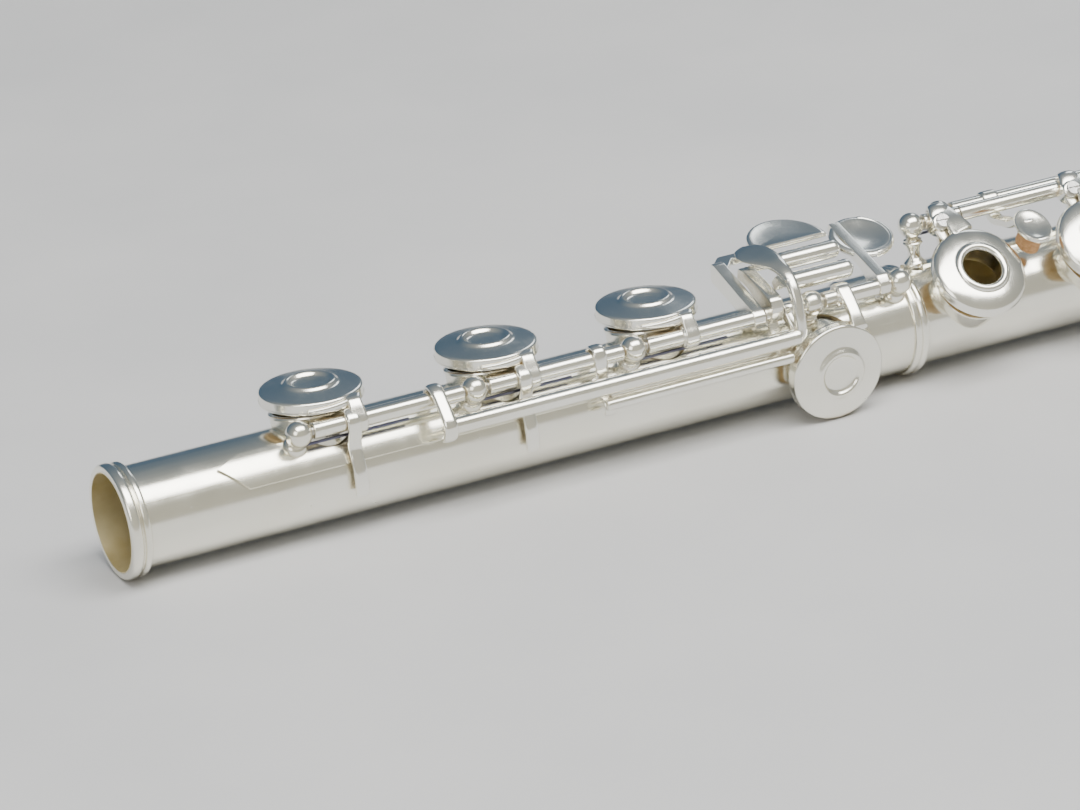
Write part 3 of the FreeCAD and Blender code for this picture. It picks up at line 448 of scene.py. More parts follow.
def silver(name, bright, shade, haze, tarnish=0.6, grain=(30.0, 1500.0, 1500.0), bore=False):
    """Polished silver plate: slow tone changes, hazy patches, fine polishing lines, tarnish in the corners.

    With bore, the inside of the foot and body tubes is stained as well."""
    look = Nodes(name)
    tone = look.noise(45.0, 3.0)
    base = look.mix(look.spread(tone, 0.35, 0.7), bright, shade)
    crevice = look.add("ShaderNodeAmbientOcclusion", samples=6, inside=False)
    crevice.inputs["Distance"].default_value = TARNISH_REACH
    patch = look.spread(look.noise(260.0, 5.0, 0.6), 0.4, 0.62, 0.35, 1.0)
    hidden = look.math("MULTIPLY", look.spread(crevice.outputs["AO"], 0.25, 0.72, tarnish, 0.0), patch)
    aged = look.mix(hidden, base, TARNISH)
    lines = look.noise(1.0, 2.0, 0.7, look.stretched(grain))
    cloud = look.spread(look.noise(120.0, 6.0, 0.65, distortion=0.6), 0.46, 0.75, 0.0, 0.1)
    polish = look.spread(lines, 0.3, 0.75, haze, haze + 0.05)
    worn = look.math("ADD", look.math("ADD", polish, cloud), look.math("MULTIPLY", hidden, 0.35))
    look.bump(lines, 0.000012, 0.5)
    if not bore:
        look.colour(aged)
        look.rough(worn)
        return look.settle(Metallic=1.0)
    inside = inside_tube(look)
    stain = look.mix(look.spread(look.noise(90.0, 5.0), 0.3, 0.7), *BORE_STAINS)
    look.colour(look.mix(inside, aged, stain))
    look.rough(look.math("ADD", worn, look.math("MULTIPLY", inside, 0.22)))
    look.link(look.spread(inside, 0.0, 1.0, 1.0, 0.55), look.shader.inputs["Metallic"])
    return look.settle()


def steel(name, bright, shade, haze):
    """Turned steel with rings round its axis."""
    look = Nodes(name)
    lines = look.noise(1.0, 3.0, 0.7, look.stretched((2600.0, 60.0, 60.0)))
    tone = look.spread(look.noise(300.0, 4.0), 0.3, 0.7)
    look.colour(look.mix(tone, bright, shade))
    look.rough(look.spread(lines, 0.25, 0.8, haze, haze + 0.18))
    look.bump(lines, 0.00002, 0.6)
    return look.settle(Metallic=1.0)


def pad_skin():
    """Thin amber skin over felt, faintly veined and mottled."""
    look = Nodes("pad_skin")
    mottle = look.spread(look.noise(420.0, 6.0, 0.62), 0.3, 0.72)
    veins = look.spread(look.cells(700.0, "DISTANCE_TO_EDGE"), 0.0, 0.12, 1.0, 0.0)
    base = look.mix(mottle, (0.50, 0.33, 0.13), (0.66, 0.50, 0.27))
    look.colour(look.mix(look.math("MULTIPLY", veins, 0.5), base, (0.33, 0.19, 0.07)))
    look.rough(look.spread(mottle, 0.0, 1.0, 0.38, 0.62))
    look.bump(look.math("ADD", mottle, veins), 0.00006, 0.5)
    return look.settle(Coat_Weight=0.15, Coat_Roughness=0.35)


def cork(name, light, dark):
    """Cut cork: warm brown grains with dark pores."""
    look = Nodes(name)
    grains = look.spread(look.cells(1500.0), 0.1, 0.6)
    patches = look.spread(look.noise(500.0, 5.0, 0.7), 0.3, 0.7)
    pores = look.spread(look.noise(1900.0, 4.0, 0.7), 0.6, 0.72)
    base = look.mix(look.math("MULTIPLY", grains, patches), light, dark)
    look.colour(look.mix(pores, base, (0.16, 0.08, 0.04)))
    look.rough(look.spread(grains, 0.0, 1.0, 0.72, 0.95))
    look.bump(look.math("SUBTRACT", grains, pores), 0.00012, 0.7)
    return look.settle()


def plain_floor():
    """A matt pale grey floor, very faintly clouded."""
    look = Nodes("studio_floor")
    tone = look.spread(look.noise(14.0, 5.0), 0.3, 0.7)
    look.colour(look.mix(tone, (0.53, 0.535, 0.55), (0.58, 0.58, 0.59)))
    look.rough(look.spread(tone, 0.0, 1.0, 0.6, 0.7))
    return look.settle()


TUBE_SILVER = silver("tube_silver", (0.94, 0.925, 0.84), (0.89, 0.87, 0.765), 0.16, bore=True)
KEY_SILVER = silver("key_silver", (0.95, 0.94, 0.875), (0.90, 0.885, 0.80), 0.15, 0.85, (1500.0, 90.0, 90.0))
HINGE_STEEL = steel("hinge_steel", (0.58, 0.58, 0.57), (0.46, 0.46, 0.46), 0.22)
SPRING_STEEL = steel("spring_steel", (0.20, 0.21, 0.27), (0.13, 0.13, 0.20), 0.25)
PAD_SKIN = pad_skin()
BUMPER_CORK = cork("bumper_cork", (0.66, 0.38, 0.17), (0.45, 0.23, 0.10))
STOPPER_CORK = cork("stopper_cork", (0.62, 0.44, 0.26), (0.42, 0.27, 0.14))

SLOT_LOOKS = {"tube_silver": TUBE_SILVER, "key_silver": KEY_SILVER, "hinge_steel": HINGE_STEEL,
              "spring_steel": SPRING_STEEL, "pad_skin": PAD_SKIN, "bumper_cork": BUMPER_CORK}


def finish_cad_nodes():
    """Every CAD node that stays takes its slot's material."""
    for row in frame["record"]["subparts"]:
        item = frame["nodes"][row["node"]]
        look = SLOT_LOOKS[row["material_slot"]]
        if row["node"] == "stopper_cork":
            look = STOPPER_CORK
        item.data.materials.clear()
        item.data.materials.append(look)


# ---------------------------------------- pieces

CREASE = math.radians(40.0)


def piece(name, shells, body, replaces, look=KEY_SILVER):
    """One object of closed shells that rides on a body."""
    verts = []
    faces = []
    for shell_verts, shell_faces in shells:
        first = len(verts)
        verts += [point * MM for point in shell_verts]
        faces += [tuple(first + index for index in face) for face in shell_faces]
    mesh = bpy.data.meshes.new(name)
    mesh.from_pydata(verts, [], faces)
    work = bmesh.new()
    work.from_mesh(mesh)
    bmesh.ops.recalc_face_normals(work, faces=work.faces)
    work.to_mesh(mesh)
    work.free()
    mesh.shade_smooth()
    mesh.set_sharp_from_angle(angle=CREASE)
    item = bpy.data.objects.new(name, mesh)
    bpy.context.scene.collection.objects.link(item)
    shading = item.modifiers.new("even_shading", "WEIGHTED_NORMAL")
    shading.keep_sharp = True
    mesh.materials.append(look)
    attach(item, body)
    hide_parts(*replaces)
    return item


def silver_piece(name, shells, body, node):
    """A piece of the tube's own silver in place of one CAD node."""
    piece(name, shells, body, [node], TUBE_SILVER)


def cup_shell(radius, place, style):
    """A key cup: closed with a ridge, a ring with its insert, or a small plain one."""
    inner = radius - 0.7
    skirt = [(inner, 14.1), (inner, 12.72), (inner + 0.12, 12.62), (radius - 0.12, 12.6),
             (radius + 0.02, 12.75), (radius + 0.02, 13.0), (radius - 0.12, 13.2)]
    if style == "ring":
        dome = skirt + [
            (radius - 0.12, 13.9), (radius - 0.2, 14.25), (radius - 0.5, 14.65), (radius - 1.1, 15.0),
            (radius - 2.0, 15.3), (radius - 3.1, 15.52), (radius - 3.9, 15.62), (5.72, 15.64), (5.62, 15.7),
            (5.55, 15.92), (5.35, 16.12), (5.05, 16.26), (4.7, 16.28), (4.4, 16.18), (4.15, 15.98),
            (4.02, 15.7), (4.0, 15.3), (4.0, 12.6), (4.1, 12.55), (4.8, 12.55), (4.9, 12.62), (4.9, 14.1)]
        return lathe(dome, place, 96, closed=True)
    if style == "small":
        top = skirt + [
            (radius - 0.12, 14.3), (radius - 0.3, 14.7), (radius - 0.8, 14.98), (radius - 1.8, 15.25),
            (radius - 3.2, 15.5), (radius - 4.4, 15.62), (0, 15.66)]
        return lathe([(0, 14.1)] + top, place, 72)
    top = skirt + [
        (radius - 0.12, 14.45), (radius - 0.2, 14.68), (radius - 0.42, 14.86), (radius - 0.8, 14.96),
        (radius - 2.6, 15.25), (5.9, 15.48), (5.5, 15.6), (5.25, 15.78), (5.0, 16.05), (4.75, 16.22),
        (4.5, 16.26), (4.25, 16.18), (4.0, 15.92), (3.75, 15.6), (3.4, 15.42), (2.6, 15.36), (0, 15.34)]
    return lathe([(0, 14.1)] + top, place, 96)


def pad_piece(name, placings, radius, body):
    """Skin-covered felt with the print of the tone hole's rim pressed into its face."""
    edge = radius - 0.76
    shells = []
    for place, rim, open_style in placings:
        face = [(edge, 13.9), (edge, 12.75), (edge - 0.12, 12.5), (edge - 0.4, 12.32), (edge - 0.8, 12.27),
                (rim + 0.55, 12.28), (rim + 0.3, 12.4), (rim, 12.44), (rim - 0.3, 12.38), (rim - 0.6, 12.3)]
        if open_style:
            inner = face + [(5.5, 12.3), (5.1, 12.4), (4.96, 12.6), (4.96, 13.9)]
            shells.append(lathe(inner, place, 96, closed=True))
        else:
            shells.append(lathe([(0, 13.9)] + face + [(1.0, 12.27), (0, 12.27)], place, 96))
    item = piece(name, shells, body, [name.replace("_disc", "")], PAD_SKIN)
    return item


def key_and_pad(body, shells, pads, cup):
    """A key's metalwork and its pad."""
    piece(body + "_body", shells, body, [body])
    pad_piece(body.replace("_key", "_pad") + "_disc", pads, cup, body)


def cup_arm(x, arm_x, place, lateral, height, radius, width, fan):
    """The strap that wraps the hinge tube and rises to the cup's wall, flaring where it is soldered on.

    fan is how far its end drifts towards the head joint, widening as it goes."""
    side = math.copysign(1.0, lateral)
    offset = arm_x - x
    outer_edge = abs(offset + fan) + 1.9 * fan
    reach = math.sqrt(radius ** 2 - outer_edge ** 2)
    middle = ((lateral + side * (reach + 1.0)) / 2, (height + 2.4 + 14.6) / 2)
    path = [(lateral - side * 0.6, height - 2.15, 0.94, 1.0, 0.0),
            (lateral + side * 1.5, height - 1.5, 0.97, 1.05, 0.0),
            (lateral + side * 2.1, height + 0.2, 1.0, 1.1, 0.0),
            (lateral + side * 1.1, height + 1.9, 1.0, 1.25, 0.1),
            (*middle, 0.95, 1.4, 0.45), (side * (reach + 0.25), 13.9, 1.1, 1.6, 0.85),
            (side * (reach - 0.5), 14.35 - fan * 0.15, 1.3 - fan * 0.5, 1.0, 1.0)]
    points = []
    for y, z, share, thick, spread in path:
        point = place @ Vector((offset + fan * spread, y, z))
        points.append((point.x, point.y, point.z, width * share + fan * spread * 1.3, thick))
    return sweep(points, power=4.5)


def seat_of_line(line, hole_angle, place_tilt):
    """The hinge line's (lateral, height) as seen from a cup's own seat."""
    local = (place_tilt @ seat(0.0, hole_angle)).inverted() @ line
    return local.y, local.z


def collar(line, x, width=4.0, radius=2.2):
    """A bead soldered round a hinge tube."""
    half = width / 2
    profile = [(1.5, -half), (radius - 0.3, -half), (radius, -half + 0.45), (radius, half - 0.45),
               (radius - 0.3, half), (1.5, half)]
    return lathe(rounded(profile, 0.3, closed=True), along_x(x, line.y, line.z), 40, closed=True)


RING_FAN = 1.05


def cup_and_arm(x, hole_angle, line, opening, radius, arm_x, style="closed", width=3.6):
    """A cup with its arm and collar, and the frame that its pad sits in."""
    turn = tilted(line, opening)
    place = turn @ seat(x, hole_angle)
    lateral, height = seat_of_line(line, hole_angle, turn)
    fan = RING_FAN if style == "ring" else 0.0
    shells = [cup_shell(radius, place, style),
              cup_arm(x, arm_x, place, lateral, height, radius, width, fan),
              collar(line, arm_x, width + 0.6)]
    return shells, place


# ---------------------------------------- posts and rings

FOOT_POSTS = (35.7, 72.4, 106.6, 146.1, 166.2)
MAIN_POSTS = (176.0, 248.5, 322.8, 362.7, 406.8)
BACK_POSTS = (270.5, 302.8, 337.0, 386.8)
TRILL_POSTS = (186.0, 441.4)
BALL = 2.6
BALL_STEPS = 16
PIVOT_LENGTH = 3.6


def post(x, line, base):
    """A turned post: flared foot, waist, double bead and ball."""
    radius = math.hypot(line.y, line.z)
    angle = math.degrees(math.atan2(-line.y, line.z))
    neck = radius - BALL * 0.92
    tall = neck - base > 3.0
    profile = [(0, base - 0.6), (2.35, base - 0.6), (2.4, base + 0.05), (2.25, base + 0.35)]
    if tall:
        waist = base + (neck - base) * 0.42
        profile += [(1.75, base + 0.75), (1.35, base + 1.3), (1.2, waist), (1.32, waist + 0.9),
                    (1.55, neck - 1.75), (1.62, neck - 1.45), (1.95, neck - 1.3), (2.02, neck - 1.1),
                    (1.9, neck - 0.9), (1.6, neck - 0.78), (1.85, neck - 0.62), (1.85, neck - 0.42),
                    (1.5, neck - 0.28), (1.2, neck - 0.12)]
    else:
        profile += [(2.2, base + 0.7), (1.9, base + 1.05), (1.35, base + 1.3), (1.1, neck - 0.25)]
    bottom = -math.acos(0.98 / BALL)
    for step in range(BALL_STEPS):
        swing = bottom + (math.pi / 2 - bottom) * step / BALL_STEPS
        profile.append((BALL * math.cos(swing), radius + BALL * math.sin(swing)))
    profile.append((0.0, radius + BALL))
    return lathe(profile, seat(x, angle), 40)


def pivot(line, x):
    """The end of a hinge steel, a small boss standing out of a post's ball towards the foot end."""
    return bar(1.15, x - PIVOT_LENGTH, x, line.y, line.z, 0.3, 28)


def make_posts():
    foot = [post(x, FOOT_LINE, 10.5) for x in FOOT_POSTS[:-1]]
    foot += [post(FOOT_POSTS[-1], FOOT_LINE, 10.9), pivot(FOOT_LINE, FOOT_POSTS[-1])]
    silver_piece("foot_post_set", foot, "foot", "foot_posts")
    body = [post(x, MAIN_LINE, 10.5) for x in MAIN_POSTS]
    body += [post(x, BACK_LINE, 9.95) for x in BACK_POSTS]
    body += [post(x, TRILL_LINE, 10.5) for x in TRILL_POSTS]
    silver_piece("body_post_set", body, "body", "body_posts")


def turned_ring(name, node, body, profile):
    """A ring turned about the tube's axis from (x, radius) points, starting at the inner edge."""
    outline = rounded([(radius, x) for x, radius in profile], 0.35, 4, closed=True)
    silver_piece(name, [lathe(outline, along_x(0.0), 144, closed=True)], body, node)


def make_rings():
    turned_ring("end_ring", "foot_end_ring", "foot", [
        (0.0, 9.7), (0.0, 10.75), (0.5, 11.15), (1.5, 11.2), (2.0, 10.95), (2.25, 10.45), (2.5, 10.45),
        (2.75, 10.9), (3.3, 11.05), (3.8, 10.9), (4.1, 10.4), (4.1, 9.7)])
    start = 168.2
    turned_ring("socket_ring", "foot_socket_ring", "foot", [
        (start, 10.3), (start, 10.7), (start + 0.3, 11.1), (start + 1.2, 11.2), (start + 1.55, 10.9),
        (start + 1.75, 10.7), (start + 1.95, 10.9), (start + 2.4, 11.2), (start + 3.1, 11.1),
        (start + 3.4, 10.6), (start + 3.4, 10.3)])
    turned_ring("barrel_sleeve", "barrel", "body", [
        (445.0, 9.8), (445.0, 10.6), (445.4, 11.1), (446.6, 11.2), (447.0, 10.9), (447.3, 11.2),
        (448.0, 11.1), (448.4, 10.7), (488.6, 10.7), (489.0, 11.1), (489.8, 11.2), (490.1, 10.9),
        (490.4, 11.2), (491.6, 11.1), (492.0, 10.7), (492.0, 9.97), (455.0, 9.97), (455.0, 9.8)])


def make_crown():
    profile = [
        (0, 703.32), (3.6, 703.1), (6.4, 702.4), (8.3, 700.9), (8.8, 699.9), (8.95, 699.3), (9.6, 699.1),
        (10.1, 698.6), (10.2, 698.0), (10.2, 693.4), (9.9, 692.4), (9.6, 692.15), (8.54, 692.15),
        (8.54, 685.0), (2.46, 685.0), (2.46, 700.35), (0, 700.35)]
    silver_piece("crown_cap", [lathe(rounded(profile, 0.4), along_x(0.0), 120)], "crown", "crown")


# ---------------------------------------- foot joint keys

def by_hinge(*offsets):
    """(y, z) points at these offsets from the foot hinge line."""
    return [(FOOT_LINE.y + y, FOOT_LINE.z + z) for y, z in offsets]


def kicker(x):
    """The stop arm that comes down over the near side of the tube."""
    path = [polar(16.5, 31.0), polar(16.5, 38.5), polar(15.0, 44.5), polar(13.0, 49.5), polar(12.0, 56.0),
            polar(11.75, 66.0), polar(11.75, 78.0), polar(11.7, 90.0), polar(11.6, 99.0)]
    return strap(path, x, 2.7, 1.2, 3.0)


def cup_tongue(x, arm_x, place):
    """The tapering end of a foot key's arm, soldered along the cup's wall."""
    wall = FOOT_CUP + 0.15
    start = math.acos((arm_x - x) / wall)
    path = []
    for step in range(9):
        turn = start + math.radians(6.5) * step
        point = place @ Vector((wall * math.cos(turn), -wall * math.sin(turn), 13.45))
        path.append((*point, 2.1 - 0.19 * step, 1.1 - 0.05 * step))
    return sweep(path, side=(0, 0, 1), power=2.3)


def outer_link(x):
    """The strap from the hinge tube over to the low B key's rod."""
    y, z = OUTER_ROD
    path = by_hinge((2.1, 0.2), (0.9, 2.2), (-1.5, 2.0))
    path += [(y + 0.2, z + 2.7), (y - 1.5, z + 0.6), (y - 1.2, z - 1.5), (y, z - 2.4)]
    return strap(path, x, 2.8, 1.5, 2.6)


def second_link(x):
    """The strap from the hinge tube down behind the outer rod to the low C key's rod."""
    y, z = SECOND_ROD
    path = by_hinge((2.1, 0.2), (0.9, 2.1), (-1.4, 1.7)) + [(-10.35, 10.0), (-10.1, 8.0), (-11.0, 5.0)]
    path += [(y + 0.7, z + 0.3), (y, z - 1.3), (y + 0.4, z - 2.0)]
    return strap(path, x, 2.7, 1.0, 2.6)


def under_link(x):
    """The strap from under the hinge tube to the far end of the low C key's rod."""
    path = by_hinge((0.0, -1.0)) + [(-9.2, 8.2), (-10.6, 5.6), SECOND_ROD]
    return strap(path, x, 2.0, 1.1)


def foot_cup(pad, arm_x):
    """The cup, arm and tongue of an open-standing foot key, and the placing of its pad."""
    x = middle_x(pad)
    shells, place = cup_and_arm(x, FOOT_HOLES, FOOT_LINE, FOOT_OPEN, FOOT_CUP, arm_x, width=2.9)
    return shells + [cup_tongue(x, arm_x, place)], [(place, FOOT_RIM, False)]


def foot_tube(start, end):
    """A hinge tube on the foot line."""
    return bar(HINGE_TUBE, start, end, FOOT_LINE.y, FOOT_LINE.z)


def make_b_key():
    shells, pads = foot_cup("b_pad", arm_x=47.6)
    y, z = OUTER_ROD
    touch = [(139.4, y, z, 2.5, 3.2), (140.7, y, z + 0.8, 2.4, 2.8), (140.8, -12.9, 12.2, 2.3, 2.4),
             (140.9, -11.4, 16.2, 2.4, 2.4), (140.9, -8.9, 18.9, 2.6, 2.3), (140.6, -5.6, 20.35, 3.5, 1.8),
             (140.0, -2.2, 20.78, 5.2, 1.5), (139.3, 1.0, 20.85, 6.2, 1.2), (138.6, 3.6, 20.8, 5.4, 1.0),
             (138.1, 5.4, 20.6, 3.0, 0.8)]
    shells += [
        foot_tube(38.45, 69.6),
        kicker(46.2),
        outer_link(63.9),
        bar(OUTER_ROD_RADIUS, 63.2, 140.4, *OUTER_ROD, 0.6),
        foot_tube(139.4, 143.35),
        strap(by_hinge((0.0, 0.0)) + [(-10.9, 9.6), OUTER_ROD], 140.2, 1.6, 2.0),
        sweep(touch, side=(1, 0, 0.25), power=2.3, steps=8),
        strap([(-9.8, 18.2), (-7.0, 17.8), (-5.0, 16.2)], 140.6, 1.9, 2.2),
        bar(ROLLER_AXLE_RADIUS, 140.0, 157.6, *B_ROLLER_AXIS)]
    key_and_pad("b_key", shells, pads, FOOT_CUP)


def make_c_key():
    shells, pads = foot_cup("c_pad", arm_x=84.0)
    lever = by_hinge((0.3, -2.1), (-2.0, -1.1), (-2.6, 1.4))
    lever += [(-10.4, 15.3), (-9.4, 16.0), (0.2, 18.35), (2.9, 18.1), (3.4, 15.8), (-0.6, 15.1), (-5.0, 12.7)]
    lever += by_hinge((2.0, -1.2))
    shells += [
        foot_tube(75.15, 103.85),
        kicker(82.2),
        second_link(98.5),
        bar(SECOND_ROD_RADIUS, 97.4, 138.6, *SECOND_ROD, 0.35),
        under_link(137.2),
        foot_tube(135.25, 139.25),
        plank(lever, x=137.4, width=2.6),
        bar(ROLLER_AXLE_RADIUS, 138.0, 158.4, *C_ROLLER_AXIS)]
    key_and_pad("c_key", shells, pads, FOOT_CUP)


def half_oval(half_length, low, high, count=72):
    """An oval cut straight along its near side at y = low, with softened corners."""
    reach = half_length * math.sqrt(1 - (low / high) ** 2)
    start = math.asin(low / high)
    turns = [start + (math.pi - 2 * start) * k / count for k in range(count + 1)]
    points = [(half_length * math.cos(turn), high * math.sin(turn)) for turn in turns]
    straight = 14
    points += [(-reach + 2 * reach * k / straight, low) for k in range(1, straight)]
    return rounded(points, 0.8, 3, closed=True)


def make_foot_c_sharp_key():
    shells, pads = foot_cup("foot_c_sharp_pad", arm_x=118.6)
    lever = by_hinge((0.3, -2.1), (-2.0, -1.0), (-2.0, 0.9))
    lever += [(-9.0, 13.8), (6.2, 18.6), (7.5, 18.4), (7.5, 14.6), (-2.9, 11.7)] + by_hinge((2.0, -1.4))
    strip = [(132.5, 4.8), (134.9, 4.8), (138.6, 9.7), (147.0, 9.7), (147.0, 12.1), (136.6, 12.1),
             (132.5, 7.2)]
    riser = [(144.0, 9.7), (147.0, 9.7), (147.0, 12.1), (144.0, 12.1)]
    leaf = Matrix.Translation((149.9, 6.4, 18.6)) @ Matrix.Rotation(math.radians(8), 4, "X")
    middle = 3.6
    outline = [(u, v - middle) for u, v in half_oval(8.4, -0.4, 9.3)]
    shells += [
        foot_tube(109.35, 135.1),
        plank(lever, x=133.75, width=2.6),
        slab(strip, Matrix.Translation((0, 0, 15.9)), 1.6),
        slab(riser, Matrix.Translation((0, 0, 16.2)), 3.4),
        dished(outline, plate_profile(1.3, 0.2, 0.05), leaf @ Matrix.Translation((0, middle, 0)))]
    key_and_pad("foot_c_sharp_key", shells, pads, FOOT_CUP)


def make_d_sharp_key():
    x = middle_x("d_sharp_pad")
    shells, place = cup_and_arm(x, D_SHARP_HOLE, FOOT_LINE, 0.0, FOOT_CUP, arm_x=153.0, width=2.8)
    lever = by_hinge((0.3, -2.1), (-2.0, -1.0), (-2.0, 0.9))
    lever += [(-8.9, 14.5), (9.9, 19.75), (10.5, 17.8), (-2.0, 14.0)] + by_hinge((2.0, -1.2))
    touch = Matrix.Translation((165.3, 4.7, 16.7)) @ Matrix.Rotation(math.radians(16), 4, "X")
    rolled_rim = []
    rim_radius = 6.1
    for degrees in range(-85, 66, 10):
        turn = math.radians(degrees)
        point = touch @ Vector((rim_radius * math.cos(turn), rim_radius * math.sin(turn), 0.75))
        rolled_rim.append((*point, 1.1, 1.5))
    shells += [
        foot_tube(148.85, 163.45),
        plank(lever, x=162.1, width=2.4),
        sweep(rolled_rim, power=2.2, steps=2),
        dished(ellipse(6.6, 6.6), plate_profile(1.4, 0.6, 0.08), touch)]
    key_and_pad("d_sharp_key", shells, [(place, FOOT_RIM, False)], FOOT_CUP)


def make_roller(name, start, end, axis):
    """A barrel-shaped roller, open along its axle."""
    half = (end - start) / 2
    profile = [(0.8, -half + 0.25), (1.15, -half), (1.5, -half + 0.08), (1.78, -half + 0.4),
               (1.88, -half + 0.9), (1.9, 0.0), (1.88, half - 0.9), (1.78, half - 0.4),
               (1.5, half - 0.08), (1.15, half), (0.8, half - 0.25)]
    shell = lathe(rounded(profile, 0.15, 3, closed=True), along_x((start + end) / 2, *axis), 56, closed=True)
    piece(name + "_barrel", [shell], name, [name])


# ---------------------------------------- body joint keys

def hinge_hug(x):
    """A saddle over the main hinge tube where an arm leaves it."""
    path = [(1.9, -0.7), (1.5, 1.5), (-0.6, 2.1), (-2.1, 0.3), (-1.5, -1.5)]
    return strap([(MAIN_LINE.y + y, MAIN_LINE.z + z) for y, z in path], x, 3.4, 0.9)


def ring_lug(screw_x):
    """The kidney-shaped lug of a ring key with its adjusting screw's seat."""
    ear = Matrix.Translation((screw_x, 0.6, 17.5)) @ Matrix.Rotation(math.radians(50), 4, "X")
    boss = rounded([(0, -1.2), (1.95, -1.2), (1.95, 2.3), (1.4, 2.62), (0, 2.62)], 0.35)
    bridge = [(1.7, 5.1, 18.4, 2.6, 1.2), (1.5, 4.4, 19.9, 3.4, 1.5), (1.3, 2.5, 20.5, 4.2, 1.7),
              (1.1, 0.7, 19.2, 5.0, 1.9), (1.0, -0.7, 17.4, 5.2, 1.9), (1.3, -2.3, 16.0, 4.8, 1.4),
              (1.5, -3.3, 15.5, 4.2, 1.0)]
    path = [(screw_x + x, *rest) for x, *rest in bridge]
    return [lathe(boss, ear, 40), sweep(path, power=2.2)]


# Body, ends of its hinge tube, pad, how far its arm stands off the cup's middle, style of the cup.
MAIN_KEYS = [
    ("d_key", 178.75, 187.0, "d_pad", -0.4, "ring"),
    ("e_key", 187.15, 217.5, "e_pad", 1.2, "ring"),
    ("f_key", 217.65, 245.75, "f_pad", 0.0, "ring"),
    ("f_sharp_key", 251.25, 271.5, "f_sharp_pad", 0.0, "closed"),
    ("a_key", 325.55, 343.9, "a_pad", 0.0, "ring"),
    ("b_flat_key", 344.05, 359.95, "b_flat_pad", -3.0, "closed"),
]
HIGH_HOLES = ("a_pad", "b_flat_pad")
SCREW_OFFSET = -1.8
UPPER_TOUCH_X = 383.0


def main_spur(x):
    """The short tail of a body key that its spring pushes on."""
    path = [polar(17.6, -8.5), polar(14.5, -7.0), polar(11.3, -5.0)]
    return strap(path, x, 2.4, 1.2)


def make_main_key(body, start, end, cups):
    """A key on the main line with one or more cups of (x, arm's x, style, rim)."""
    shells = [bar(HINGE_TUBE, start, end, MAIN_LINE.y, MAIN_LINE.z)]
    pads = []
    for x, arm_x, style, rim in cups:
        parts, place = cup_and_arm(x, BODY_HOLES, MAIN_LINE, -BODY_OPEN, BODY_CUP, arm_x, style)
        shells += parts + [main_spur(arm_x), hinge_hug(arm_x)]
        pads.append((place, rim, style == "ring"))
    if body in ("d_key", "e_key"):
        shells += ring_lug(cups[0][1] + SCREW_OFFSET)
    key_and_pad(body, shells, pads, BODY_CUP)


def make_main_keys():
    for body, start, end, pad, shift, style in MAIN_KEYS:
        x = middle_x(pad)
        rim = HIGH_RIM if pad in HIGH_HOLES else LOW_RIM
        make_main_key(body, start, end, [(x, x + shift, style, rim)])
    low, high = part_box("g_pad")
    pad_radius = BODY_CUP - 0.75
    g_x = low.x / MM + pad_radius
    upper_x = high.x / MM - pad_radius
    g_cups = [(g_x, g_x, "closed", LOW_RIM), (upper_x, upper_x, "ring", HIGH_RIM)]
    make_main_key("g_key", 271.65, 320.05, g_cups)


def touch_plate(x, angle, height, outline, profile):
    """A touch at x, facing out of the tube at an angle."""
    return dished(outline, profile, seat(x, angle) @ Matrix.Translation((0, 0, height)))


def make_upper_c_sharp_key():
    x = middle_x("upper_c_sharp_pad")
    shells, place = cup_and_arm(x, BODY_HOLES, MAIN_LINE, -BODY_OPEN, SMALL_CUP, x, "small")
    arm = [polar(18.2, -9.5), polar(19.6, -2.0), polar(19.2, 12.0), polar(17.6, 26.0), polar(16.7, 38.0)]
    shells += [
        bar(HINGE_TUBE, 365.45, 404.05, MAIN_LINE.y, MAIN_LINE.z),
        collar(MAIN_LINE, UPPER_TOUCH_X, 4.4),
        strap(arm, UPPER_TOUCH_X, 3.4, 1.5),
        touch_plate(UPPER_TOUCH_X, 42.0, 15.8, ellipse(8.0, 5.4), plate_profile(1.5, 0.4, 0.08))]
    key_and_pad("upper_c_sharp_key", shells, [(place, SMALL_RIM, False)], SMALL_CUP)


def bumper(name, touch, body):
    """A cork pillar under a trill touch, squeezed a little at its middle."""
    profile = [(0, 13.0), (0.86, 13.0), (0.97, 13.25), (1.0, 14.0), (0.96, 15.4), (0.99, 16.8), (1.0, 17.4),
               (0.9, 17.7), (0, 17.7)]
    block = dished(ellipse(2.3, 2.9, 40), profile, touch)
    piece(name + "_block", [block], body, [name], BUMPER_CORK)


def make_trill_key(name, touch_x, tubes, half_length, steel_run):
    """A closed-standing trill key whose touch lies between two ring keys."""
    body = name + "_key"
    x = middle_x(name + "_pad")
    shells, place = cup_and_arm(x, TRILL_HOLES, TRILL_LINE, 0.0, SMALL_CUP, x, "small")
    touch = seat(touch_x, 27.0)
    arm = [polar(18.7, -27.4), polar(16.0, -25.6), polar(14.6, -20.0), polar(14.4, -8.0), polar(14.8, 4.0),
           polar(16.6, 13.0), polar(17.9, 22.0)]
    cap = [(0, 17.6), (0.5, 17.6), (0.84, 17.66), (0.95, 17.9), (1.0, 18.3), (0.99, 18.65), (0.94, 18.9),
           (0.86, 18.95), (0.7, 18.72), (0.4, 18.48), (0.15, 18.42), (0, 18.42)]
    shells += [bar(HINGE_TUBE, start, end, TRILL_LINE.y, TRILL_LINE.z) for start, end in tubes]
    shells += [strap(arm, touch_x, 2.6, 1.7), collar(TRILL_LINE, touch_x, 3.6),
               dished(ellipse(half_length, 4.6, 56), cap, touch)]
    if steel_run:
        shells.append(bar(0.9, *steel_run, TRILL_LINE.y, TRILL_LINE.z, 0.15))
    key_and_pad(body, shells, [(place, SMALL_RIM, False)], SMALL_CUP)
    bumper(name + "_cork", touch, body)


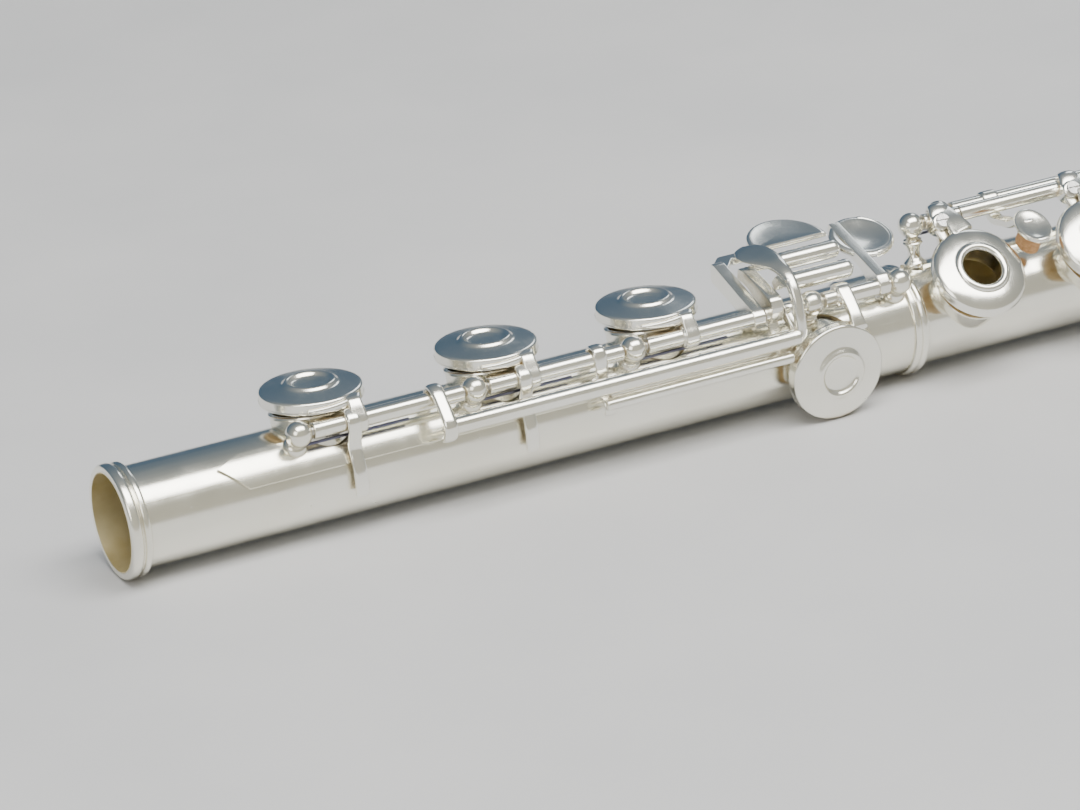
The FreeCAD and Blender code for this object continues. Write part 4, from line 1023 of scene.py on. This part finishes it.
def make_trill_keys():
    d_x, e_x, f_x = (middle_x(pad) for pad in ("d_pad", "e_pad", "f_pad"))
    end_tubes = [(188.75, 222.05), (430.15, 438.65)]
    make_trill_key("d_sharp_trill", (d_x + e_x) / 2, end_tubes, 3.7, (184.8, 442.6))
    make_trill_key("d_trill", (e_x + f_x) / 2, [(222.2, 430.0)], 3.4, None)


BACK_ARM_OFFSET = -4.0
FLAT_TOUCH_X = 345.6
THUMB_ANGLE = -88.0
G_SHARP_LEVER = 278.6


def back_tube(start, end):
    """A hinge tube on the back line."""
    return bar(HINGE_TUBE, start, end, BACK_LINE.y, BACK_LINE.z)


def thumb_touch(x, half_length):
    """A thumb touch and the arm that carries it."""
    arm = [polar(14.5, -48.0), polar(16.9, -56.0), polar(17.4, -68.0), polar(16.6, -80.0),
           polar(16.2, THUMB_ANGLE)]
    plate = touch_plate(x, THUMB_ANGLE, 15.5, ellipse(half_length, 5.0), plate_profile(1.4, 0.35, 0.08))
    return [strap(arm, x, 3.4, 1.4), plate]


def make_thumb_keys():
    x = middle_x("thumb_b_pad")
    shells, place = cup_and_arm(x, BACK_HOLES, BACK_LINE, THUMB_OPEN, BACK_CUP, x + BACK_ARM_OFFSET)
    shells += thumb_touch(358.6, 6.4) + [back_tube(352.6, 384.05)]
    key_and_pad("thumb_b_key", shells, [(place, HIGH_RIM, False)], BACK_CUP)
    lever = thumb_touch(FLAT_TOUCH_X, 5.6)
    lever += [back_tube(339.75, 352.45), collar(BACK_LINE, FLAT_TOUCH_X, 4.0)]
    piece("thumb_b_flat_lever_body", lever, "thumb_b_flat_lever", ["thumb_b_flat_lever"])


def make_g_sharp_key():
    """The closed-standing key whose lever crosses over the tube to its touch on the near side."""
    x = middle_x("g_sharp_pad")
    shells, place = cup_and_arm(x, BACK_HOLES, BACK_LINE, 0.0, BACK_CUP, x + BACK_ARM_OFFSET)
    lever = [polar(14.0, angle) for angle in range(-48, 73, 10)]
    lever += [polar(15.0, 82.0), polar(16.4, 91.0), polar(16.8, 99.0)]
    shells += [
        back_tube(273.25, 300.05),
        collar(BACK_LINE, G_SHARP_LEVER, 4.2),
        strap(lever, G_SHARP_LEVER, 3.2, 1.5),
        touch_plate(284.6, 99.0, 16.25, ellipse(9.0, 3.2), plate_profile(1.4, 0.3, 0.08))]
    key_and_pad("g_sharp_key", shells, [(place, HIGH_RIM, False)], BACK_CUP)


# ---------------------------------------- head joint

EMBOUCHURE_X = 633.4
LIP_LENGTH = 44.6
LIP_WIDTH = 10.8
LIP_HEIGHT = 14.2
LIP_REACH = 33.0
LIP_WRAP = math.radians(83.0)
LIP_STEPS = 128
HOLE_LENGTH = 12.2
HOLE_WIDTH = 10.4
HOLE_POWER = 2 / 2.9
RISER_FOOT = 8.75


def hole_point(turn, grow=0.0):
    """A point of the rounded oblong mouth hole, in the plate's own x and y."""
    c, s = math.cos(turn), math.sin(turn)
    return ((HOLE_LENGTH / 2 + grow) * math.copysign(abs(c) ** HOLE_POWER, c),
            (HOLE_WIDTH / 2 + grow) * math.copysign(abs(s) ** HOLE_POWER, s))


def lip_surface(x, swing, depth):
    """A point of the plate at x and an angle round the tube, this deep under its face."""
    share = math.sqrt(1 - (x / (LIP_LENGTH - depth)) ** 2)
    y = -(LIP_WIDTH - depth) * share * math.sin(swing)
    z = (LIP_HEIGHT - depth) * share * math.cos(swing)
    return Vector((x, y, z))


def make_lip_plate():
    """The plate's skin, in loops from the edge of the hole (share 0) out to its rim (share 1)."""
    place = seat(EMBOUCHURE_X, BODY_HOLES)
    rows = [(0.0, 0.35), (0.0, 0.12), (0.012, 0.0)] + [(t / 14, 0.0) for t in range(1, 14)]
    rows += [(0.985, 0.0), (0.997, 0.15), (1.0, 0.45), (0.997, 0.75), (0.985, 0.9)]
    rows += [(t / 6, 0.9) for t in range(5, 0, -1)] + [(0.0, 0.9)]
    loops = []
    for share, depth in rows:
        loop = []
        for k in range(LIP_STEPS):
            turn = 2 * math.pi * k / LIP_STEPS
            hole_x, hole_y = hole_point(turn)
            hole_swing = -math.asin(hole_y / LIP_WIDTH)
            x = hole_x * (1 - share) + LIP_REACH * math.cos(turn) * share
            swing = hole_swing * (1 - share) - LIP_WRAP * math.sin(turn) * share
            loop.append(place @ lip_surface(x, swing, depth))
        loops.append(loop)
    silver_piece("lip_plate_shell", [ringed(loops, closed=True)], "head", "lip_plate")


def make_embouchure():
    """The chimney between the lip plate and the head tube."""
    place = seat(EMBOUCHURE_X, BODY_HOLES)
    loops = []
    for grow, top in ((0.0, True), (1.5, True), (1.5, False), (0.0, False)):
        loop = []
        for k in range(LIP_STEPS):
            x, y = hole_point(2 * math.pi * k / LIP_STEPS, grow)
            height = lip_surface(x, math.asin(-y / LIP_WIDTH), 0.5).z if top else RISER_FOOT
            loop.append(place @ Vector((x, y, height)))
        loops.append(loop)
    silver_piece("embouchure_wall", [ringed(loops, closed=True)], "head", "embouchure_riser")


# ---------------------------------------- studio

LIT_POINT = Vector((0.3, 0.0, 0.0))
NEAR_SIDE = (1.0, 0.96, 0.82, 1.0)
FAR_SIDE = (0.12, 0.21, 0.33, 1.0)
CAMERA_PLACE = (-0.2549, -0.7252, 0.3411)
CAMERA_ANGLES = (-25.42, 22.93, -4.0)


def make_floor():
    low = CAD_BOX[0]
    bpy.ops.mesh.primitive_plane_add(size=24.0, location=(0.35, 0.0, low.z - 0.0001))
    floor = bpy.context.object
    floor.name = "studio_floor"
    floor.data.materials.append(plain_floor())


def make_light(name, place, size, power, tint):
    """A rectangular soft light that faces the middle of the keys."""
    data = bpy.data.lights.new(name, "AREA")
    data.shape = "RECTANGLE"
    data.size, data.size_y = size
    data.energy = power
    data.color = tint
    item = bpy.data.objects.new(name, data)
    item.location = place
    item.rotation_mode = "QUATERNION"
    item.rotation_quaternion = (LIT_POINT - Vector(place)).to_track_quat("-Z", "Y")
    item.visible_camera = False
    bpy.context.scene.collection.objects.link(item)


def make_lights():
    make_light("overhead_softbox", (0.3, -0.55, 1.4), (1.9, 0.8), 46.0, (1.0, 0.985, 0.95))
    make_light("side_softbox", (-1.3, -1.0, 0.9), (0.8, 0.8), 8.0, (1.0, 0.97, 0.92))
    make_light("rear_softbox", (1.6, 1.5, 1.3), (0.5, 0.9), 4.0, (0.9, 0.95, 1.0))


def make_world():
    """A room that is warm and bright on the near side and dusky blue on the far side."""
    world = bpy.data.worlds.new("studio")
    world.use_nodes = True
    bpy.context.scene.world = world
    tree = world.node_tree
    background = tree.nodes["Background"]
    place = tree.nodes.new("ShaderNodeTexCoord")
    split = tree.nodes.new("ShaderNodeSeparateXYZ")
    ramp = tree.nodes.new("ShaderNodeValToRGB")
    shift = tree.nodes.new("ShaderNodeMapRange")
    tree.links.new(place.outputs["Generated"], split.inputs["Vector"])
    shift.inputs["From Min"].default_value = -1.0
    tree.links.new(split.outputs["Y"], shift.inputs["Value"])
    tree.links.new(shift.outputs["Result"], ramp.inputs["Fac"])
    tree.links.new(ramp.outputs["Color"], background.inputs["Color"])
    ramp.color_ramp.elements[0].color = NEAR_SIDE
    ramp.color_ramp.elements[1].color = FAR_SIDE
    background.inputs["Strength"].default_value = 0.6


def make_camera():
    """The camera looks down at the foot end from the near side."""
    azimuth, elevation, roll = (math.radians(angle) for angle in CAMERA_ANGLES)
    level_reach = math.cos(elevation)
    back = Vector((math.sin(azimuth) * level_reach, -math.cos(azimuth) * level_reach, math.sin(elevation)))
    level = (-back).cross(Vector((0, 0, 1))).normalized()
    upright = level.cross(-back)
    right = level * math.cos(roll) + upright * math.sin(roll)
    up = upright * math.cos(roll) - level * math.sin(roll)
    data = bpy.data.cameras.new("camera")
    data.lens = 150.0
    data.sensor_width = 36.0
    data.clip_start = 0.05
    data.clip_end = 50.0
    item = bpy.data.objects.new("camera", data)
    turn = Matrix((right, up, back)).transposed().to_4x4()
    item.matrix_world = Matrix.Translation(CAMERA_PLACE) @ turn
    bpy.context.scene.collection.objects.link(item)
    bpy.context.scene.camera = item


make_camera()
make_floor()
make_lights()
make_world()
finish_cad_nodes()
make_posts()
make_rings()
make_crown()
make_b_key()
make_c_key()
make_foot_c_sharp_key()
make_d_sharp_key()
make_roller("b_roller", 143.6, 157.0, B_ROLLER_AXIS)
make_roller("c_roller", 144.6, 157.8, C_ROLLER_AXIS)
make_main_keys()
make_upper_c_sharp_key()
make_trill_keys()
make_thumb_keys()
make_g_sharp_key()
make_lip_plate()
make_embouchure()
